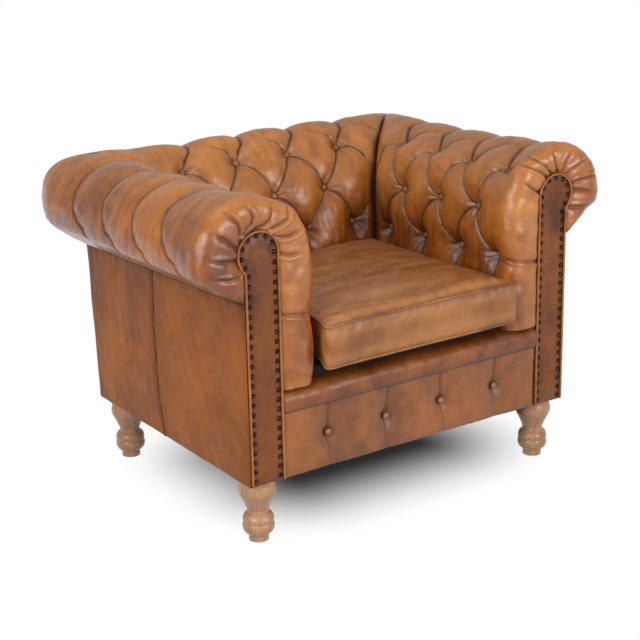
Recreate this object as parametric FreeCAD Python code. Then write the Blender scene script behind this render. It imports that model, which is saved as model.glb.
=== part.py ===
import FreeCAD, Part
import math
import os
from FreeCAD import Vector

# A button-tufted, rolled-arm leather armchair with a loose seat cushion and four turned legs.
# X runs across the chair, Y from its front to its back and Z up from the floor, in millimetres.
# Every piece is first placed with Y = 0 at the front of the arms, and the whole chair is then
# moved so that the origin lies on the floor under the middle of its bounding box.

# Body
BODY_WIDTH = 875.0
BODY_DEPTH = 687.0
BODY_BOTTOM = 146.0
SEAT_HALF_WIDTH = 261.0
SEAT_BOARD_TOP = 344.0

# Rolled arms and back: one roll, swept along both arms and across the back
ROLL_INSET = 27.5
ROLL_CENTRE_HEIGHT = 645.0
ROLL_HEIGHT = 130.0
ROLL_REACH_OUT = 134.0
ARM_DROP_SHARE = 0.05
WALL_CROWN = 3.0
WALL_TUCK = 8.0
PAD_BOTTOM = 347.0
UNDER_REACH = 101.0
UNDER_DROP = 51.0
SEAM_DROP = 95.0
FAN_CLEARANCE = 1.5
MITRE_CLEARANCE = 0.6

# Rows of buttons: how far each lies in front of the roll's axis, and its height over the axis
ARM_LOW_REACH = 141.0
ARM_LOW_RISE = -133.0
ARM_MIDDLE_REACH = 149.0
ARM_MIDDLE_RISE = -19.0
ARM_HIGH_REACH = 114.0
ARM_HIGH_RISE = 83.5
BACK_LOW_REACH = 145.5
BACK_LOW_RISE = -104.0
BACK_MIDDLE_REACH = 130.0
BACK_MIDDLE_RISE = -3.0
BACK_HIGH_REACH = 69.0
BACK_HIGH_RISE = 91.0
PUFF = 6.0

# Deep buttoning
ARM_BUTTON_START = 69.5
ARM_BUTTON_MARGIN = 22.5
BACK_BUTTON_MARGIN = 36.0
BUTTONS_PER_ROW = 4
BUTTON_DEPTH = 28.0
PLEAT_DEPTH = 12.0
RING_PLEAT_DEPTH = 5.0
MITRE_DEPTH = 10.0
BUTTON_DIAMETER = 16.0
BUTTON_HEIGHT = 5.0
BUTTON_SHANK_DIAMETER = 2.4
BUTTON_LIFT = 8.6
BUTTON_SHANK_LIFT = 1.1

# Rows count up the padding: three rows of buttons, then over the roll to the outside seam
LOW_ROW = 0
MIDDLE_ROW = 1
HIGH_ROW = 2
TOP_ROW = 3
OUTER_ROW = 4
SEAM_ROW = 5
SEAT_ROW_SHARE = -1.4
UNDER_ROW_SHARE = 4.6
FAN_STEPS = 5

# Materials and fits
LEATHER = 2.5
FIT = 0.3
FOAM_CLEARANCE = 0.8
PANEL_THICKNESS = 4.5
OVERRUN = 5.0

# Timber frame
POST_WIDTH = 78.0
FRONT_POST_DEPTH = 70.0
REAR_POST_DEPTH = 80.0
RAIL_THICKNESS = 32.0
RAIL_HEIGHT = 144.0
TOP_RAIL_WIDTH = 51.0
TOP_RAIL_HEIGHT = 50.0
TOP_RAIL_DROP = 50.0
SLAT_THICKNESS = 22.0
SLAT_HEIGHT = 50.0
SLAT_BOTTOM = 350.0
UPRIGHT_WIDTH = 45.0
UPRIGHT_SPACING = 240.0
HESSIAN = 2.0
HESSIAN_TOP_GAP = 3.0
SCROLL_BOARD_THICKNESS = 18.0
SCROLL_BOARD_RADIUS = 100.0
BLOCK_LENGTH = 70.0
BLOCK_HEIGHT = 60.0

# Arm facing: a nailed strip with a round head on the front of each arm
FACING_INNER = 349.0
HEAD_RADIUS = 50.0
HEAD_RISE = 3.0
NOTCH_RADIUS = 12.0
FACING_PAD = 5.0
FACING_BOARD = 9.0
PIPING_RADIUS = 2.6
NAIL_PITCH = 21.4
NAIL_DIAMETER = 11.4
NAIL_HEIGHT = 3.6
NAIL_INSET = 11.4
NAIL_FIRST_HEIGHT = 12.0
SCROLL_BULGE = 6.0
SCROLL_EDGE = 14.0

# Seat front
APRON_TOP = 295.0
APRON_RECESS = 3.5
APRON_BUTTON_PITCH = 154.0
APRON_BUTTON_HEIGHT = 222.0
APRON_BUTTON_DEPTH = 7.0
APRON_BUTTON_LIFT = 5.7
APRON_PLEAT_DEPTH = 4.0
LIP_BULGE = 4.0
LIP_TOP = 343.0
LIP_ROUND = 14.0
LIP_DEPTH = 18.0

# Seat: sinuous springs, their clips, a sprung pad and the platform that the cushion lies on
SPRING_COUNT = 5
SPRING_PITCH = 120.0
SPRING_WIRE = 4.0
SPRING_LOOP_WIDTH = 44.0
SPRING_LOOP_PITCH = 27.0
SPRING_RISE = 2.5
CLIP_LENGTH = 12.0
CLIP_WIDTH = 14.0
CLIP_WALL = 1.5
PLATFORM_PAD_TOP = 378.0
PLATFORM_FRONT = 24.0
PLATFORM_ROUND = 18.0
DUST_COVER = 1.2
DUST_COVER_INSET = 12.0

# Loose cushion
CUSHION_SIDE_GAP = 12.5
CUSHION_REAR_GAP = 14.5
CUSHION_FRONT = -31.0
CUSHION_BOTTOM_SEAM = 383.5
CUSHION_TOP_SEAM = 473.5
CUSHION_CORNER_RADIUS = 26.0
CUSHION_DRAW_IN = 5.0
CUSHION_CROWN = 16.0
CUSHION_SAG = 2.5
CUSHION_PIPING_RADIUS = 4.0
GUSSET_LENGTH = 420.0
ZIP_CHAIN_HEIGHT = 5.0
ZIP_CHAIN_DEPTH = 1.6
ZIP_SLIDER_LENGTH = 13.0
ZIP_SLIDER_WALL = 1.2
ZIP_PULL_LENGTH = 26.0
ZIP_PULL_WIDTH = 6.0
ZIP_PULL_THICKNESS = 1.4
ZIP_END_MARGIN = 12.0

# Turned legs
LEG_OUTER_INSET = 48.0
LEG_FRONT_INSET = 48.0
LEG_REAR_INSET = 58.0
LEG_TOP_RADIUS = 39.0
LEG_COLLAR = 12.0
LEG_SWELL_RADIUS = 41.5
LEG_SHOULDER_RADIUS = 40.0
LEG_SHOULDER_HEIGHT = 110.0
LEG_NECK_RADIUS = 24.0
LEG_NECK_HEIGHT = 74.0
LEG_BULB_RADIUS = 34.5
LEG_BULB_TOP = 66.0
LEG_BULB_BOTTOM = 19.0
LEG_GROOVE_HEIGHT = 44.0
LEG_GROOVE_RADIUS = 32.5
LEG_FOOT_RADIUS = 22.0
GLIDE_RADIUS = 15.0
GLIDE_HEIGHT = 2.0
BOLT_DIAMETER = 8.0
THREAD_CLEARANCE = 0.15
BOLT_IN_LEG = 45.0
BOLT_IN_POST = 28.0
INSERT_DIAMETER = 14.0
INSERT_LENGTH = 20.0
SCREW_DIAMETER = 5.0
SCREW_HEAD_DIAMETER = 9.0
SCREW_LENGTH = 38.0
SCREW_HEAD_HEIGHT = 3.0

# Places worked out from the sizes above
HALF_BODY = BODY_WIDTH / 2
ARM_AXIS = HALF_BODY - ROLL_INSET
BACK_AXIS = BODY_DEPTH - ROLL_INSET
ROLL_REACH_IN = ARM_AXIS - SEAT_HALF_WIDTH
BACK_ROLL_HEIGHT = ROLL_CENTRE_HEIGHT - ARM_DROP_SHARE * BACK_AXIS
TOP_RAIL_BOTTOM = ROLL_CENTRE_HEIGHT - TOP_RAIL_DROP
HESSIAN_TOP = TOP_RAIL_BOTTOM - HESSIAN_TOP_GAP
HEAD_HEIGHT = ROLL_CENTRE_HEIGHT + HEAD_RISE
POST_FRONT = FACING_PAD + FACING_BOARD
POST_OUTER = HALF_BODY - PANEL_THICKNESS
POST_INNER = POST_OUTER - POST_WIDTH
POST_BACK = BODY_DEPTH - PANEL_THICKNESS
RAIL_TOP = BODY_BOTTOM + RAIL_HEIGHT
TOP_RAIL_OUTER = POST_OUTER - FIT - FIT
TOP_RAIL_INNER = TOP_RAIL_OUTER - TOP_RAIL_WIDTH
BOARD_FRONT = POST_FRONT + FIT
BOARD_BACK = BOARD_FRONT + SCROLL_BOARD_THICKNESS
LIP_BOTTOM = APRON_TOP + FIT
FRONT_POST_BACK = POST_FRONT + FRONT_POST_DEPTH
REAR_POST_FRONT = POST_BACK - REAR_POST_DEPTH
HEAD_CENTRE = FACING_INNER + HEAD_RADIUS
FAN_REACH = ROLL_REACH_IN + WALL_CROWN + FAN_CLEARANCE
ARM_BUTTON_RUN = BACK_AXIS - FAN_REACH - ARM_BUTTON_START - ARM_BUTTON_MARGIN
ARM_BUTTON_PITCH = ARM_BUTTON_RUN / (BUTTONS_PER_ROW - 1)
BACK_BUTTON_START = BACK_BUTTON_MARGIN + FAN_REACH - ARM_AXIS
BACK_BUTTON_PITCH = -2 * BACK_BUTTON_START / (BUTTONS_PER_ROW - 1)
CUSHION_HALF_WIDTH = SEAT_HALF_WIDTH - CUSHION_SIDE_GAP
CUSHION_BACK = BACK_AXIS - ROLL_REACH_IN - CUSHION_REAR_GAP
LEG_X = HALF_BODY - LEG_OUTER_INSET
LEG_YS = {"front": LEG_FRONT_INSET, "rear": BODY_DEPTH - LEG_REAR_INSET}

nodes = {}


def box(low, high):
    """A block between two opposite corners."""
    return Part.makeBox(high[0] - low[0], high[1] - low[1], high[2] - low[2], Vector(*low))


def cylinder(radius, height, base, axis=Vector(0, 0, 1)):
    return Part.makeCylinder(radius, height, Vector(*base), axis)


def mirrored(shape):
    """The same piece on the other side of the chair."""
    return shape.mirror(Vector(0, 0, 0), Vector(1, 0, 0))


def both_sides(name, shape):
    nodes[name + "_right"] = shape
    nodes[name + "_left"] = mirrored(shape)


def group(shapes):
    return Part.makeCompound(shapes)


def pair(name, shape):
    """A piece and its mirror image, as two solids of one node."""
    nodes[name] = group([shape, mirrored(shape)])


def prism(points, direction):
    """A flat outline of points in space, pushed along a direction."""
    loop = Part.makePolygon(points + points[:1])
    return Part.Face(loop).extrude(direction)


# Padded profile of the arms and the back, as places across and above the roll's axis

def outer_places():
    """Places from the top of the roll over its outside to the seam under it."""
    places = [(0.0, ROLL_HEIGHT, (0.0, -1.0), TOP_ROW)]
    for degrees, share in ((65, 0.3), (40, 0.6), (20, 0.8), (0, 1.0)):
        angle = math.radians(degrees)
        slope = (-math.cos(angle) / ROLL_REACH_OUT, -math.sin(angle) / ROLL_HEIGHT)
        size = math.hypot(*slope)
        normal = (slope[0] / size, slope[1] / size)
        row = TOP_ROW + (OUTER_ROW - TOP_ROW) * share
        places.append((ROLL_REACH_OUT * math.cos(angle), ROLL_HEIGHT * math.sin(angle), normal, row))
    under = (-0.6, 0.8)
    bow_share = 0.12
    bow = bow_share * math.hypot(UNDER_REACH - ROLL_INSET, SEAM_DROP - UNDER_DROP)
    turned = (ROLL_REACH_OUT + UNDER_REACH) / 2 + bow
    tucked = (UNDER_REACH + ROLL_INSET) / 2 + bow / 4
    places += [
        (turned, -UNDER_DROP / 2 - bow / 4, under, (OUTER_ROW + UNDER_ROW_SHARE) / 2),
        (UNDER_REACH, -UNDER_DROP, under, UNDER_ROW_SHARE),
        (tucked, -(UNDER_DROP + SEAM_DROP) / 2 - bow / 4, under, (UNDER_ROW_SHARE + SEAM_ROW) / 2),
        (ROLL_INSET, -SEAM_DROP, under, SEAM_ROW),
    ]
    return places


def inner_places(low, middle, high):
    """Places from the seat up through the three rows of buttons, each row (across, up)."""
    foot = (WALL_TUCK - ROLL_REACH_IN, PAD_BOTTOM - ROLL_CENTRE_HEIGHT)
    top = (0.0, ROLL_HEIGHT)
    ends = (foot, low, middle, high, top)
    bulges = (PUFF, WALL_CROWN, PUFF, PUFF)
    rows = (SEAT_ROW_SHARE, LOW_ROW, MIDDLE_ROW, HIGH_ROW, TOP_ROW)
    spots = []
    for k, bulge in enumerate(bulges):
        (a0, u0), (a1, u1) = ends[k], ends[k + 1]
        length = math.hypot(a1 - a0, u1 - u0)
        out = ((u0 - u1) / length, (a1 - a0) / length)
        spots.append((a0, u0, rows[k]))
        middle_row = (rows[k] + rows[k + 1]) / 2
        spots.append(((a0 + a1) / 2 + out[0] * bulge, (u0 + u1) / 2 + out[1] * bulge, middle_row))
    spots.append((*top, TOP_ROW))
    places = []
    for k, (across, up, row) in enumerate(spots[:-1]):
        before, after = spots[max(k - 1, 0)], spots[k + 1]
        along, rise = after[0] - before[0], after[1] - before[1]
        size = math.hypot(along, rise)
        places.append((across, up, (rise / size, -along / size), row))
    return places


def profile(low, middle, high):
    """Places along the padded surface, from the seat over the roll to the outside seam.

    Each is (across, up, inward normal, row). They alternate between ends of arcs and their middles.
    """
    return inner_places(low, middle, high) + outer_places()


def row_places_of(*sizes):
    return [(-sizes[k], sizes[k + 1]) for k in (0, 2, 4)]


ARM_ROWS = row_places_of(
    ARM_LOW_REACH, ARM_LOW_RISE, ARM_MIDDLE_REACH, ARM_MIDDLE_RISE, ARM_HIGH_REACH, ARM_HIGH_RISE
)
BACK_ROWS = row_places_of(
    BACK_LOW_REACH, BACK_LOW_RISE, BACK_MIDDLE_REACH, BACK_MIDDLE_RISE, BACK_HIGH_REACH, BACK_HIGH_RISE
)


def fanned_profile(rows, turn):
    """A profile on its way to the mitre, where the arms and the back have the mean of theirs."""
    share = math.tan(turn)
    places = []
    for (across, up), arm, back in zip(rows, ARM_ROWS, BACK_ROWS):
        mean = ((arm[0] + back[0]) / 2, (arm[1] + back[1]) / 2)
        places.append((across + (mean[0] - across) * share, up + (mean[1] - up) * share))
    return profile(*places)


def tuft_depth(pitches, row):
    """How far the leather is drawn in, at a number of pitches along and a row up.

    The pleats run in diamonds between the three rows of buttons, and straight on past them.
    """
    held = min(max(row, LOW_ROW), HIGH_ROW)
    first = pitches + held / 2
    second = pitches - held / 2
    puff = abs(math.sin(math.pi * first) * math.sin(math.pi * second)) ** 0.8
    knot = abs(math.cos(math.pi * first) * math.cos(math.pi * second)) ** 6
    past = abs(row - held)
    pleat = RING_PLEAT_DEPTH + (PLEAT_DEPTH - RING_PLEAT_DEPTH) * math.exp(-2 * past)
    near = math.exp(-((past * 4) ** 2))
    fade = min((SEAM_ROW - row) / (SEAM_ROW - UNDER_ROW_SHARE), 1.0)
    return (pleat * (1 - puff) + (BUTTON_DEPTH - pleat) * knot * near) * fade


def plan(across, along, turn, rounded):
    """Where a place of the profile lies in plan: its distance from the roll's axis line, and its
    place along the roll, counted from the point where the two rolls' axes cross.

    Past the inner corner the sections fan out about a hinge until they lie on the mitre.
    """
    if turn == 0:
        return across, along
    slope = math.tan(turn)
    ahead = (across + FAN_REACH) * slope - FAN_REACH
    if not rounded or across <= 0 or ahead <= 0:
        return across, ahead
    ratio = math.cos(turn) * FAN_REACH * (slope - 1) / across
    if ratio < -1:
        return across, ahead
    heading = turn + math.asin(ratio)
    return across * math.cos(heading), across * math.sin(heading)


def arc_edges(points):
    """Arcs through points that alternate between ends and middles."""
    return [
        Part.Arc(points[i], points[i + 1], points[i + 2]).toShape()
        for i in range(0, len(points) - 2, 2)
    ]


def line_edges(points):
    return [Part.makeLine(a, b) for a, b in zip(points, points[1:])]


def arm_space(across, along, up, falls=True):
    """A place beside an arm's roll axis, as a point of the right arm."""
    y = BACK_AXIS - MITRE_CLEARANCE + along
    fall = ARM_DROP_SHARE * min(y, BACK_AXIS) if falls else 0.0
    return Vector(ARM_AXIS + across, y, ROLL_CENTRE_HEIGHT - fall + up)


def back_space(side):
    """The same for the back, seen from its right or left end."""

    def place(across, along, up, falls=True):
        height = BACK_ROLL_HEIGHT if falls else ROLL_CENTRE_HEIGHT
        return Vector(side * (ARM_AXIS + along), BACK_AXIS + across, height + up)

    return place


def surface_points(rows, space, along, turn, depth_of, inset):
    """The padded surface at one section, drawn in by its tufts and by an inset."""
    points = []
    places = fanned_profile(rows, turn)
    last = len(places) - 1
    for index, (across, up, normal, row) in enumerate(places):
        depth = depth_of(row) + inset
        moved = across + normal[0] * depth
        raised = up + normal[1] * depth
        rounded = index != last
        level = index == 0
        flat, ahead = plan(moved, along, turn, rounded)
        point = space(flat, ahead, raised, not level)
        points.append(point)
    return points


def cavity_points(space, along, turn):
    """The frame's side of the foam, from the outside seam down to the seat."""
    lining = POST_INNER - SLAT_THICKNESS - HESSIAN - ARM_AXIS
    outer = POST_OUTER + FIT - ARM_AXIS
    rail_in = TOP_RAIL_INNER - FIT - ARM_AXIS
    rail_low = TOP_RAIL_BOTTOM + FIT - ROLL_CENTRE_HEIGHT
    rail_high = TOP_RAIL_BOTTOM + TOP_RAIL_HEIGHT + FIT - ROLL_CENTRE_HEIGHT
    bottom = PAD_BOTTOM - ROLL_CENTRE_HEIGHT
    corners = (
        (outer, rail_high),
        (rail_in, rail_high),
        (rail_in, rail_low),
        (lining, rail_low),
        (lining, bottom),
    )
    points = []
    for across, up in corners:
        flat, ahead = plan(across, along, turn, False)
        points.append(space(flat, ahead, up, False))
    return points


def leather_section(rows, space, along, turn, depth_of):
    outside = surface_points(rows, space, along, turn, depth_of, 0.0)
    inside = surface_points(rows, space, along, turn, depth_of, LEATHER)[::-1]
    edges = arc_edges(outside) + line_edges([outside[-1], inside[0]])
    edges += arc_edges(inside) + line_edges([inside[-1], outside[0]])
    return Part.Wire(edges)


def foam_section(rows, space, along, turn, depth_of):
    outside = surface_points(rows, space, along, turn, depth_of, LEATHER + FOAM_CLEARANCE)
    inside = cavity_points(space, along, turn)
    edges = arc_edges(outside) + line_edges([outside[-1]] + inside + [outside[0]])
    return Part.Wire(edges)


def fan_depth(base, turn, steps):
    """Tufts fade into the drawn-in seam where two rolls meet."""
    share = turn / steps

    def depth_of(row):
        seam = MITRE_DEPTH if row <= TOP_ROW else 0.0
        return base(row) * (1 - share) + seam * share

    return depth_of


def arm_stations(front):
    """Sections of an arm from its front to the mitre: (along, turn, depth at each row)."""
    stations = []
    quarters = 4 * (BUTTONS_PER_ROW - 1)
    steps = [ARM_BUTTON_START + ARM_BUTTON_PITCH * k / 4 for k in range(-1, quarters + 1)]
    places = [front] + [y for y in steps if y > front]
    places.append(BACK_AXIS - FAN_REACH)
    for y in places:
        pitches = (y - ARM_BUTTON_START) / ARM_BUTTON_PITCH
        depth_of = lambda row, pitches=pitches: tuft_depth(pitches, row)
        stations.append((y - BACK_AXIS + MITRE_CLEARANCE, 0.0, depth_of))
    base = stations[-1][2]
    for step in range(1, FAN_STEPS + 1):
        turn = math.radians(45) * step / FAN_STEPS
        stations.append((0.0, turn, fan_depth(base, step, FAN_STEPS)))
    return stations


def back_stations():
    """Sections of the back from its middle to the right mitre."""
    stations = []
    start = (BUTTONS_PER_ROW - 1) / 2
    places = [BACK_BUTTON_PITCH * k / 4 for k in range(int(4 * start) + 1)]
    places.append(ARM_AXIS - FAN_REACH)
    for x in places:
        pitches = (x - BACK_BUTTON_START) / BACK_BUTTON_PITCH
        depth_of = lambda row, pitches=pitches: tuft_depth(pitches, row)
        stations.append((x - ARM_AXIS, 0.0, depth_of))
    base = stations[-1][2]
    for step in range(1, FAN_STEPS + 1):
        turn = math.radians(45) * step / FAN_STEPS
        stations.append((0.0, turn, fan_depth(base, step, FAN_STEPS)))
    return stations


def padded_arm(section, front):
    wires = [section(ARM_ROWS, arm_space, *station) for station in arm_stations(front)]
    return Part.makeLoft(wires, True, True, False)


def padded_back(section):
    right = [section(BACK_ROWS, back_space(1), *station) for station in back_stations()]
    left = [section(BACK_ROWS, back_space(-1), *station) for station in back_stations()[1:]]
    return Part.makeLoft(left[::-1] + right, True, True, False)


def row_bed(rows, row):
    """The place and outward normal of the leather where a row's buttons pull it in."""
    across, up, normal = next(place[:3] for place in profile(*rows) if place[3] == row)
    sunk = (across + normal[0] * BUTTON_DEPTH, up + normal[1] * BUTTON_DEPTH)
    return sunk[0], sunk[1], (-normal[0], -normal[1])


def button(point, outward, lift):
    """A covered button: a domed head, lifted off the leather's deepest point on a short shank."""
    radius = BUTTON_DIAMETER / 2
    dome = (radius**2 + BUTTON_HEIGHT**2) / (2 * BUTTON_HEIGHT)
    seat = point + outward * lift
    centre = seat - outward * (dome - BUTTON_HEIGHT)
    ball = Part.makeSphere(dome, centre)
    blank = Part.makeCylinder(radius, BUTTON_HEIGHT + OVERRUN, seat, outward)
    head = ball.common(blank)
    foot = point + outward * BUTTON_SHANK_LIFT
    length = lift - BUTTON_SHANK_LIFT
    shank = Part.makeCylinder(BUTTON_SHANK_DIAMETER / 2, length, foot, outward)
    return head.fuse(shank)


def row_places(row):
    """Pitches along a row: the middle row sits between the other two."""
    if row == MIDDLE_ROW:
        return [k + 0.5 for k in range(BUTTONS_PER_ROW - 1)]
    return list(range(BUTTONS_PER_ROW))


def arm_buttons():
    heads = []
    for row in (LOW_ROW, MIDDLE_ROW, HIGH_ROW):
        across, up, outward = row_bed(ARM_ROWS, row)
        for place in row_places(row):
            y = ARM_BUTTON_START + place * ARM_BUTTON_PITCH
            point = arm_space(across, y - BACK_AXIS + MITRE_CLEARANCE, up)
            heads.append(button(point, Vector(outward[0], 0, outward[1]), BUTTON_LIFT))
    return group(heads)


def back_buttons():
    heads = []
    for row in (LOW_ROW, MIDDLE_ROW, HIGH_ROW):
        across, up, outward = row_bed(BACK_ROWS, row)
        for place in row_places(row):
            x = BACK_BUTTON_START + place * BACK_BUTTON_PITCH
            point = back_space(1)(across, x - ARM_AXIS, up)
            heads.append(button(point, Vector(0, outward[0], outward[1]), BUTTON_LIFT))
    return group(heads)


# Arm facings

def facing_outline(inset, y, bottom):
    """The outline of a facing, drawn in by an inset, as edges from its inner foot over its round
    head to its outer foot."""
    inner = FACING_INNER + inset
    outer = POST_OUTER - FIT - inset
    radius = HEAD_RADIUS - inset
    notch = NOTCH_RADIUS + inset
    gap = outer - HEAD_CENTRE
    drop = math.sqrt((radius + notch) ** 2 - (gap + notch) ** 2)
    turn = math.atan2(drop, gap + notch)
    centre = Vector(HEAD_CENTRE, y, HEAD_HEIGHT)
    hollow = Vector(outer + notch, y, HEAD_HEIGHT - drop)

    def on(middle, size, angle):
        return middle + Vector(size * math.cos(angle), 0, size * math.sin(angle))

    first, last = math.pi, -turn
    meet = on(centre, radius, last)
    low = Vector(outer, y, HEAD_HEIGHT - drop)
    half = math.pi - turn / 2
    edges = [Part.makeLine(Vector(inner, y, bottom), on(centre, radius, first))]
    edges.append(
        Part.Arc(
            on(centre, radius, first),
            on(centre, radius, math.radians(135)),
            on(centre, radius, math.radians(80)),
        ).toShape()
    )
    edges.append(
        Part.Arc(
            on(centre, radius, math.radians(80)),
            on(centre, radius, (math.radians(80) + last) / 2),
            meet,
        ).toShape()
    )
    edges.append(Part.Arc(meet, on(hollow, notch, half), low).toShape())
    edges.append(Part.makeLine(low, Vector(outer, y, bottom)))
    return edges


def facing_plate(front, back, inset=0.0):
    edges = facing_outline(inset, front, BODY_BOTTOM)
    ends = (edges[-1].Vertexes[-1].Point, edges[0].Vertexes[0].Point)
    foot = Part.makeLine(*ends)
    return Part.Face(Part.Wire(edges + [foot])).extrude(Vector(0, back - front, 0))


def rope(edges, radius):
    """A round welt along a line of edges."""
    path = Part.Wire(edges)
    start = edges[0].Vertexes[0].Point
    heading = edges[0].tangentAt(edges[0].FirstParameter)
    ring = Part.Wire(Part.makeCircle(radius, start, heading))
    return path.makePipeShell([ring], True, False)


def facing_nails():
    """Domed nails, evenly spaced inside the facing's edge."""
    path = Part.Wire(facing_outline(NAIL_INSET, 0.0, BODY_BOTTOM + NAIL_FIRST_HEIGHT))
    count = int(round(path.Length / NAIL_PITCH)) + 1
    radius = NAIL_DIAMETER / 2
    dome = (radius**2 + NAIL_HEIGHT**2) / (2 * NAIL_HEIGHT)
    front = Vector(0, -1, 0)
    heads = []
    for point in path.discretize(count):
        ball = Part.makeSphere(dome, point - front * (dome - NAIL_HEIGHT))
        heads.append(ball.common(Part.makeCylinder(radius, NAIL_HEIGHT, point, front)))
    return group(heads)


def scroll_front():
    """The stuffed front of the arm round the facing, with its rounded outer edge."""
    wires = []
    back = POST_FRONT
    steps = ((-SCROLL_BULGE, SCROLL_EDGE), (-SCROLL_BULGE / 3, SCROLL_EDGE / 4), (back, 0.0))
    for y, inset in steps:
        along = y - BACK_AXIS + MITRE_CLEARANCE
        points = surface_points(ARM_ROWS, arm_space, along, 0.0, lambda row: 0.0, inset)
        seam = points[-1]
        corner = Vector(FACING_INNER - FIT, y, seam.z)
        foot = Vector(FACING_INNER - FIT, y, points[0].z)
        edges = arc_edges(points) + line_edges([seam, corner, foot, points[0]])
        wires.append(Part.Wire(edges))
    solid = Part.makeLoft(wires, True, True, False)
    hole = facing_plate(-SCROLL_BULGE - OVERRUN, back + OVERRUN, -FIT)
    return solid.cut(hole)


def make_arms():
    both_sides("arm_leather", padded_arm(leather_section, BOARD_FRONT))
    both_sides("arm_foam", padded_arm(foam_section, BOARD_BACK + FIT))
    pair("arm_buttons", arm_buttons())
    both_sides("scroll_front", scroll_front())
    both_sides("facing_leather", facing_plate(0.0, FACING_PAD))
    pair("facing_boards", facing_plate(FACING_PAD, POST_FRONT))
    welt = facing_outline(PIPING_RADIUS, -PIPING_RADIUS - FIT, BODY_BOTTOM + PIPING_RADIUS)
    pair("facing_piping", rope(welt, PIPING_RADIUS))
    pair("facing_nails", facing_nails())


def make_back():
    nodes["back_leather"] = padded_back(leather_section)
    nodes["back_foam"] = padded_back(foam_section)
    nodes["back_buttons"] = back_buttons()


# Outside panels

def outside_top(y):
    """The height of the seam under the roll."""
    return ROLL_CENTRE_HEIGHT - ARM_DROP_SHARE * min(y, BACK_AXIS) - SEAM_DROP - FIT


def make_outside_panels():
    seam_top_share, seam_bottom_share = 0.56, 0.535
    inner, outer = POST_OUTER, HALF_BODY
    top_y = BODY_DEPTH * seam_top_share
    bottom_y = BODY_DEPTH * seam_bottom_share
    push = Vector(outer - inner, 0, 0)

    def panel(y_low, y_high, *top_ys):
        foot = [Vector(inner, y_low, BODY_BOTTOM), Vector(inner, y_high, BODY_BOTTOM)]
        return prism(foot + [Vector(inner, y, outside_top(y)) for y in top_ys], push)

    both_sides("outside_arm_front", panel(0.0, bottom_y - FIT, top_y - FIT, 0.0))
    both_sides("outside_arm_rear", panel(bottom_y, BODY_DEPTH, BODY_DEPTH, BACK_AXIS, top_y))
    width = POST_OUTER - FIT
    nodes["outside_back"] = box(
        (-width, POST_BACK, BODY_BOTTOM), (width, BODY_DEPTH, outside_top(BACK_AXIS))
    )


# Seat front

def apron_section(x, pitches):
    """One upright section of the buttoned front border."""
    pull = abs(math.cos(math.pi * pitches)) ** 4
    levels = (
        (BODY_BOTTOM, APRON_RECESS),
        ((BODY_BOTTOM + APRON_BUTTON_HEIGHT) / 2, APRON_PLEAT_DEPTH * pull),
        (APRON_BUTTON_HEIGHT, APRON_BUTTON_DEPTH * pull),
        ((APRON_TOP + APRON_BUTTON_HEIGHT) / 2, APRON_PLEAT_DEPTH * pull),
        (APRON_TOP, APRON_RECESS),
    )
    bulge_share = 0.2
    points = []
    for index, (z, depth) in enumerate(levels):
        bow = bulge_share * APRON_RECESS if index % 2 else 0.0
        points.append(Vector(x, depth - bow, z))
    back = POST_FRONT - FIT
    rear = [Vector(x, back, APRON_TOP), Vector(x, back, BODY_BOTTOM)]
    edges = arc_edges(points) + line_edges([points[-1]] + rear + [points[0]])
    return Part.Wire(edges)


def make_seat_front():
    half = FACING_INNER - FIT
    first = -APRON_BUTTON_PITCH * (BUTTONS_PER_ROW - 1) / 2
    xs = [-half]
    xs += [first + APRON_BUTTON_PITCH * k / 4 for k in range(-2, 4 * BUTTONS_PER_ROW - 1)]
    xs.append(half)
    wires = [apron_section(x, (x - first) / APRON_BUTTON_PITCH) for x in xs]
    nodes["front_apron"] = Part.makeLoft(wires, True, True, False)
    heads = []
    for k in range(BUTTONS_PER_ROW):
        x = first + k * APRON_BUTTON_PITCH
        point = Vector(x, APRON_BUTTON_DEPTH, APRON_BUTTON_HEIGHT)
        heads.append(button(point, Vector(0, -1, 0), APRON_BUTTON_LIFT))
    nodes["apron_buttons"] = group(heads)
    nodes["seat_lip"] = seat_lip(half)


def seat_lip(half):
    """The padded border over the front rail, rolled over at its top edge."""
    back = POST_FRONT - FIT
    deep = POST_FRONT + LIP_DEPTH
    rail = RAIL_TOP + FIT
    middle = (LIP_BOTTOM + LIP_TOP) / 2

    def at(y, z):
        return Vector(-half, y, z)

    turn_share = 0.3
    edges = [
        Part.Arc(at(0, LIP_BOTTOM), at(-LIP_BULGE, middle), at(0, LIP_TOP - LIP_ROUND)).toShape(),
        Part.Arc(
            at(0, LIP_TOP - LIP_ROUND),
            at(LIP_ROUND * turn_share, LIP_TOP - LIP_ROUND * turn_share),
            at(LIP_ROUND, LIP_TOP),
        ).toShape(),
    ]
    corners = [at(LIP_ROUND, LIP_TOP), at(deep, LIP_TOP), at(deep, rail), at(back, rail)]
    corners += [at(back, LIP_BOTTOM), at(0, LIP_BOTTOM)]
    return Part.Face(Part.Wire(edges + line_edges(corners))).extrude(Vector(half + half, 0, 0))


# Timber frame

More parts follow.
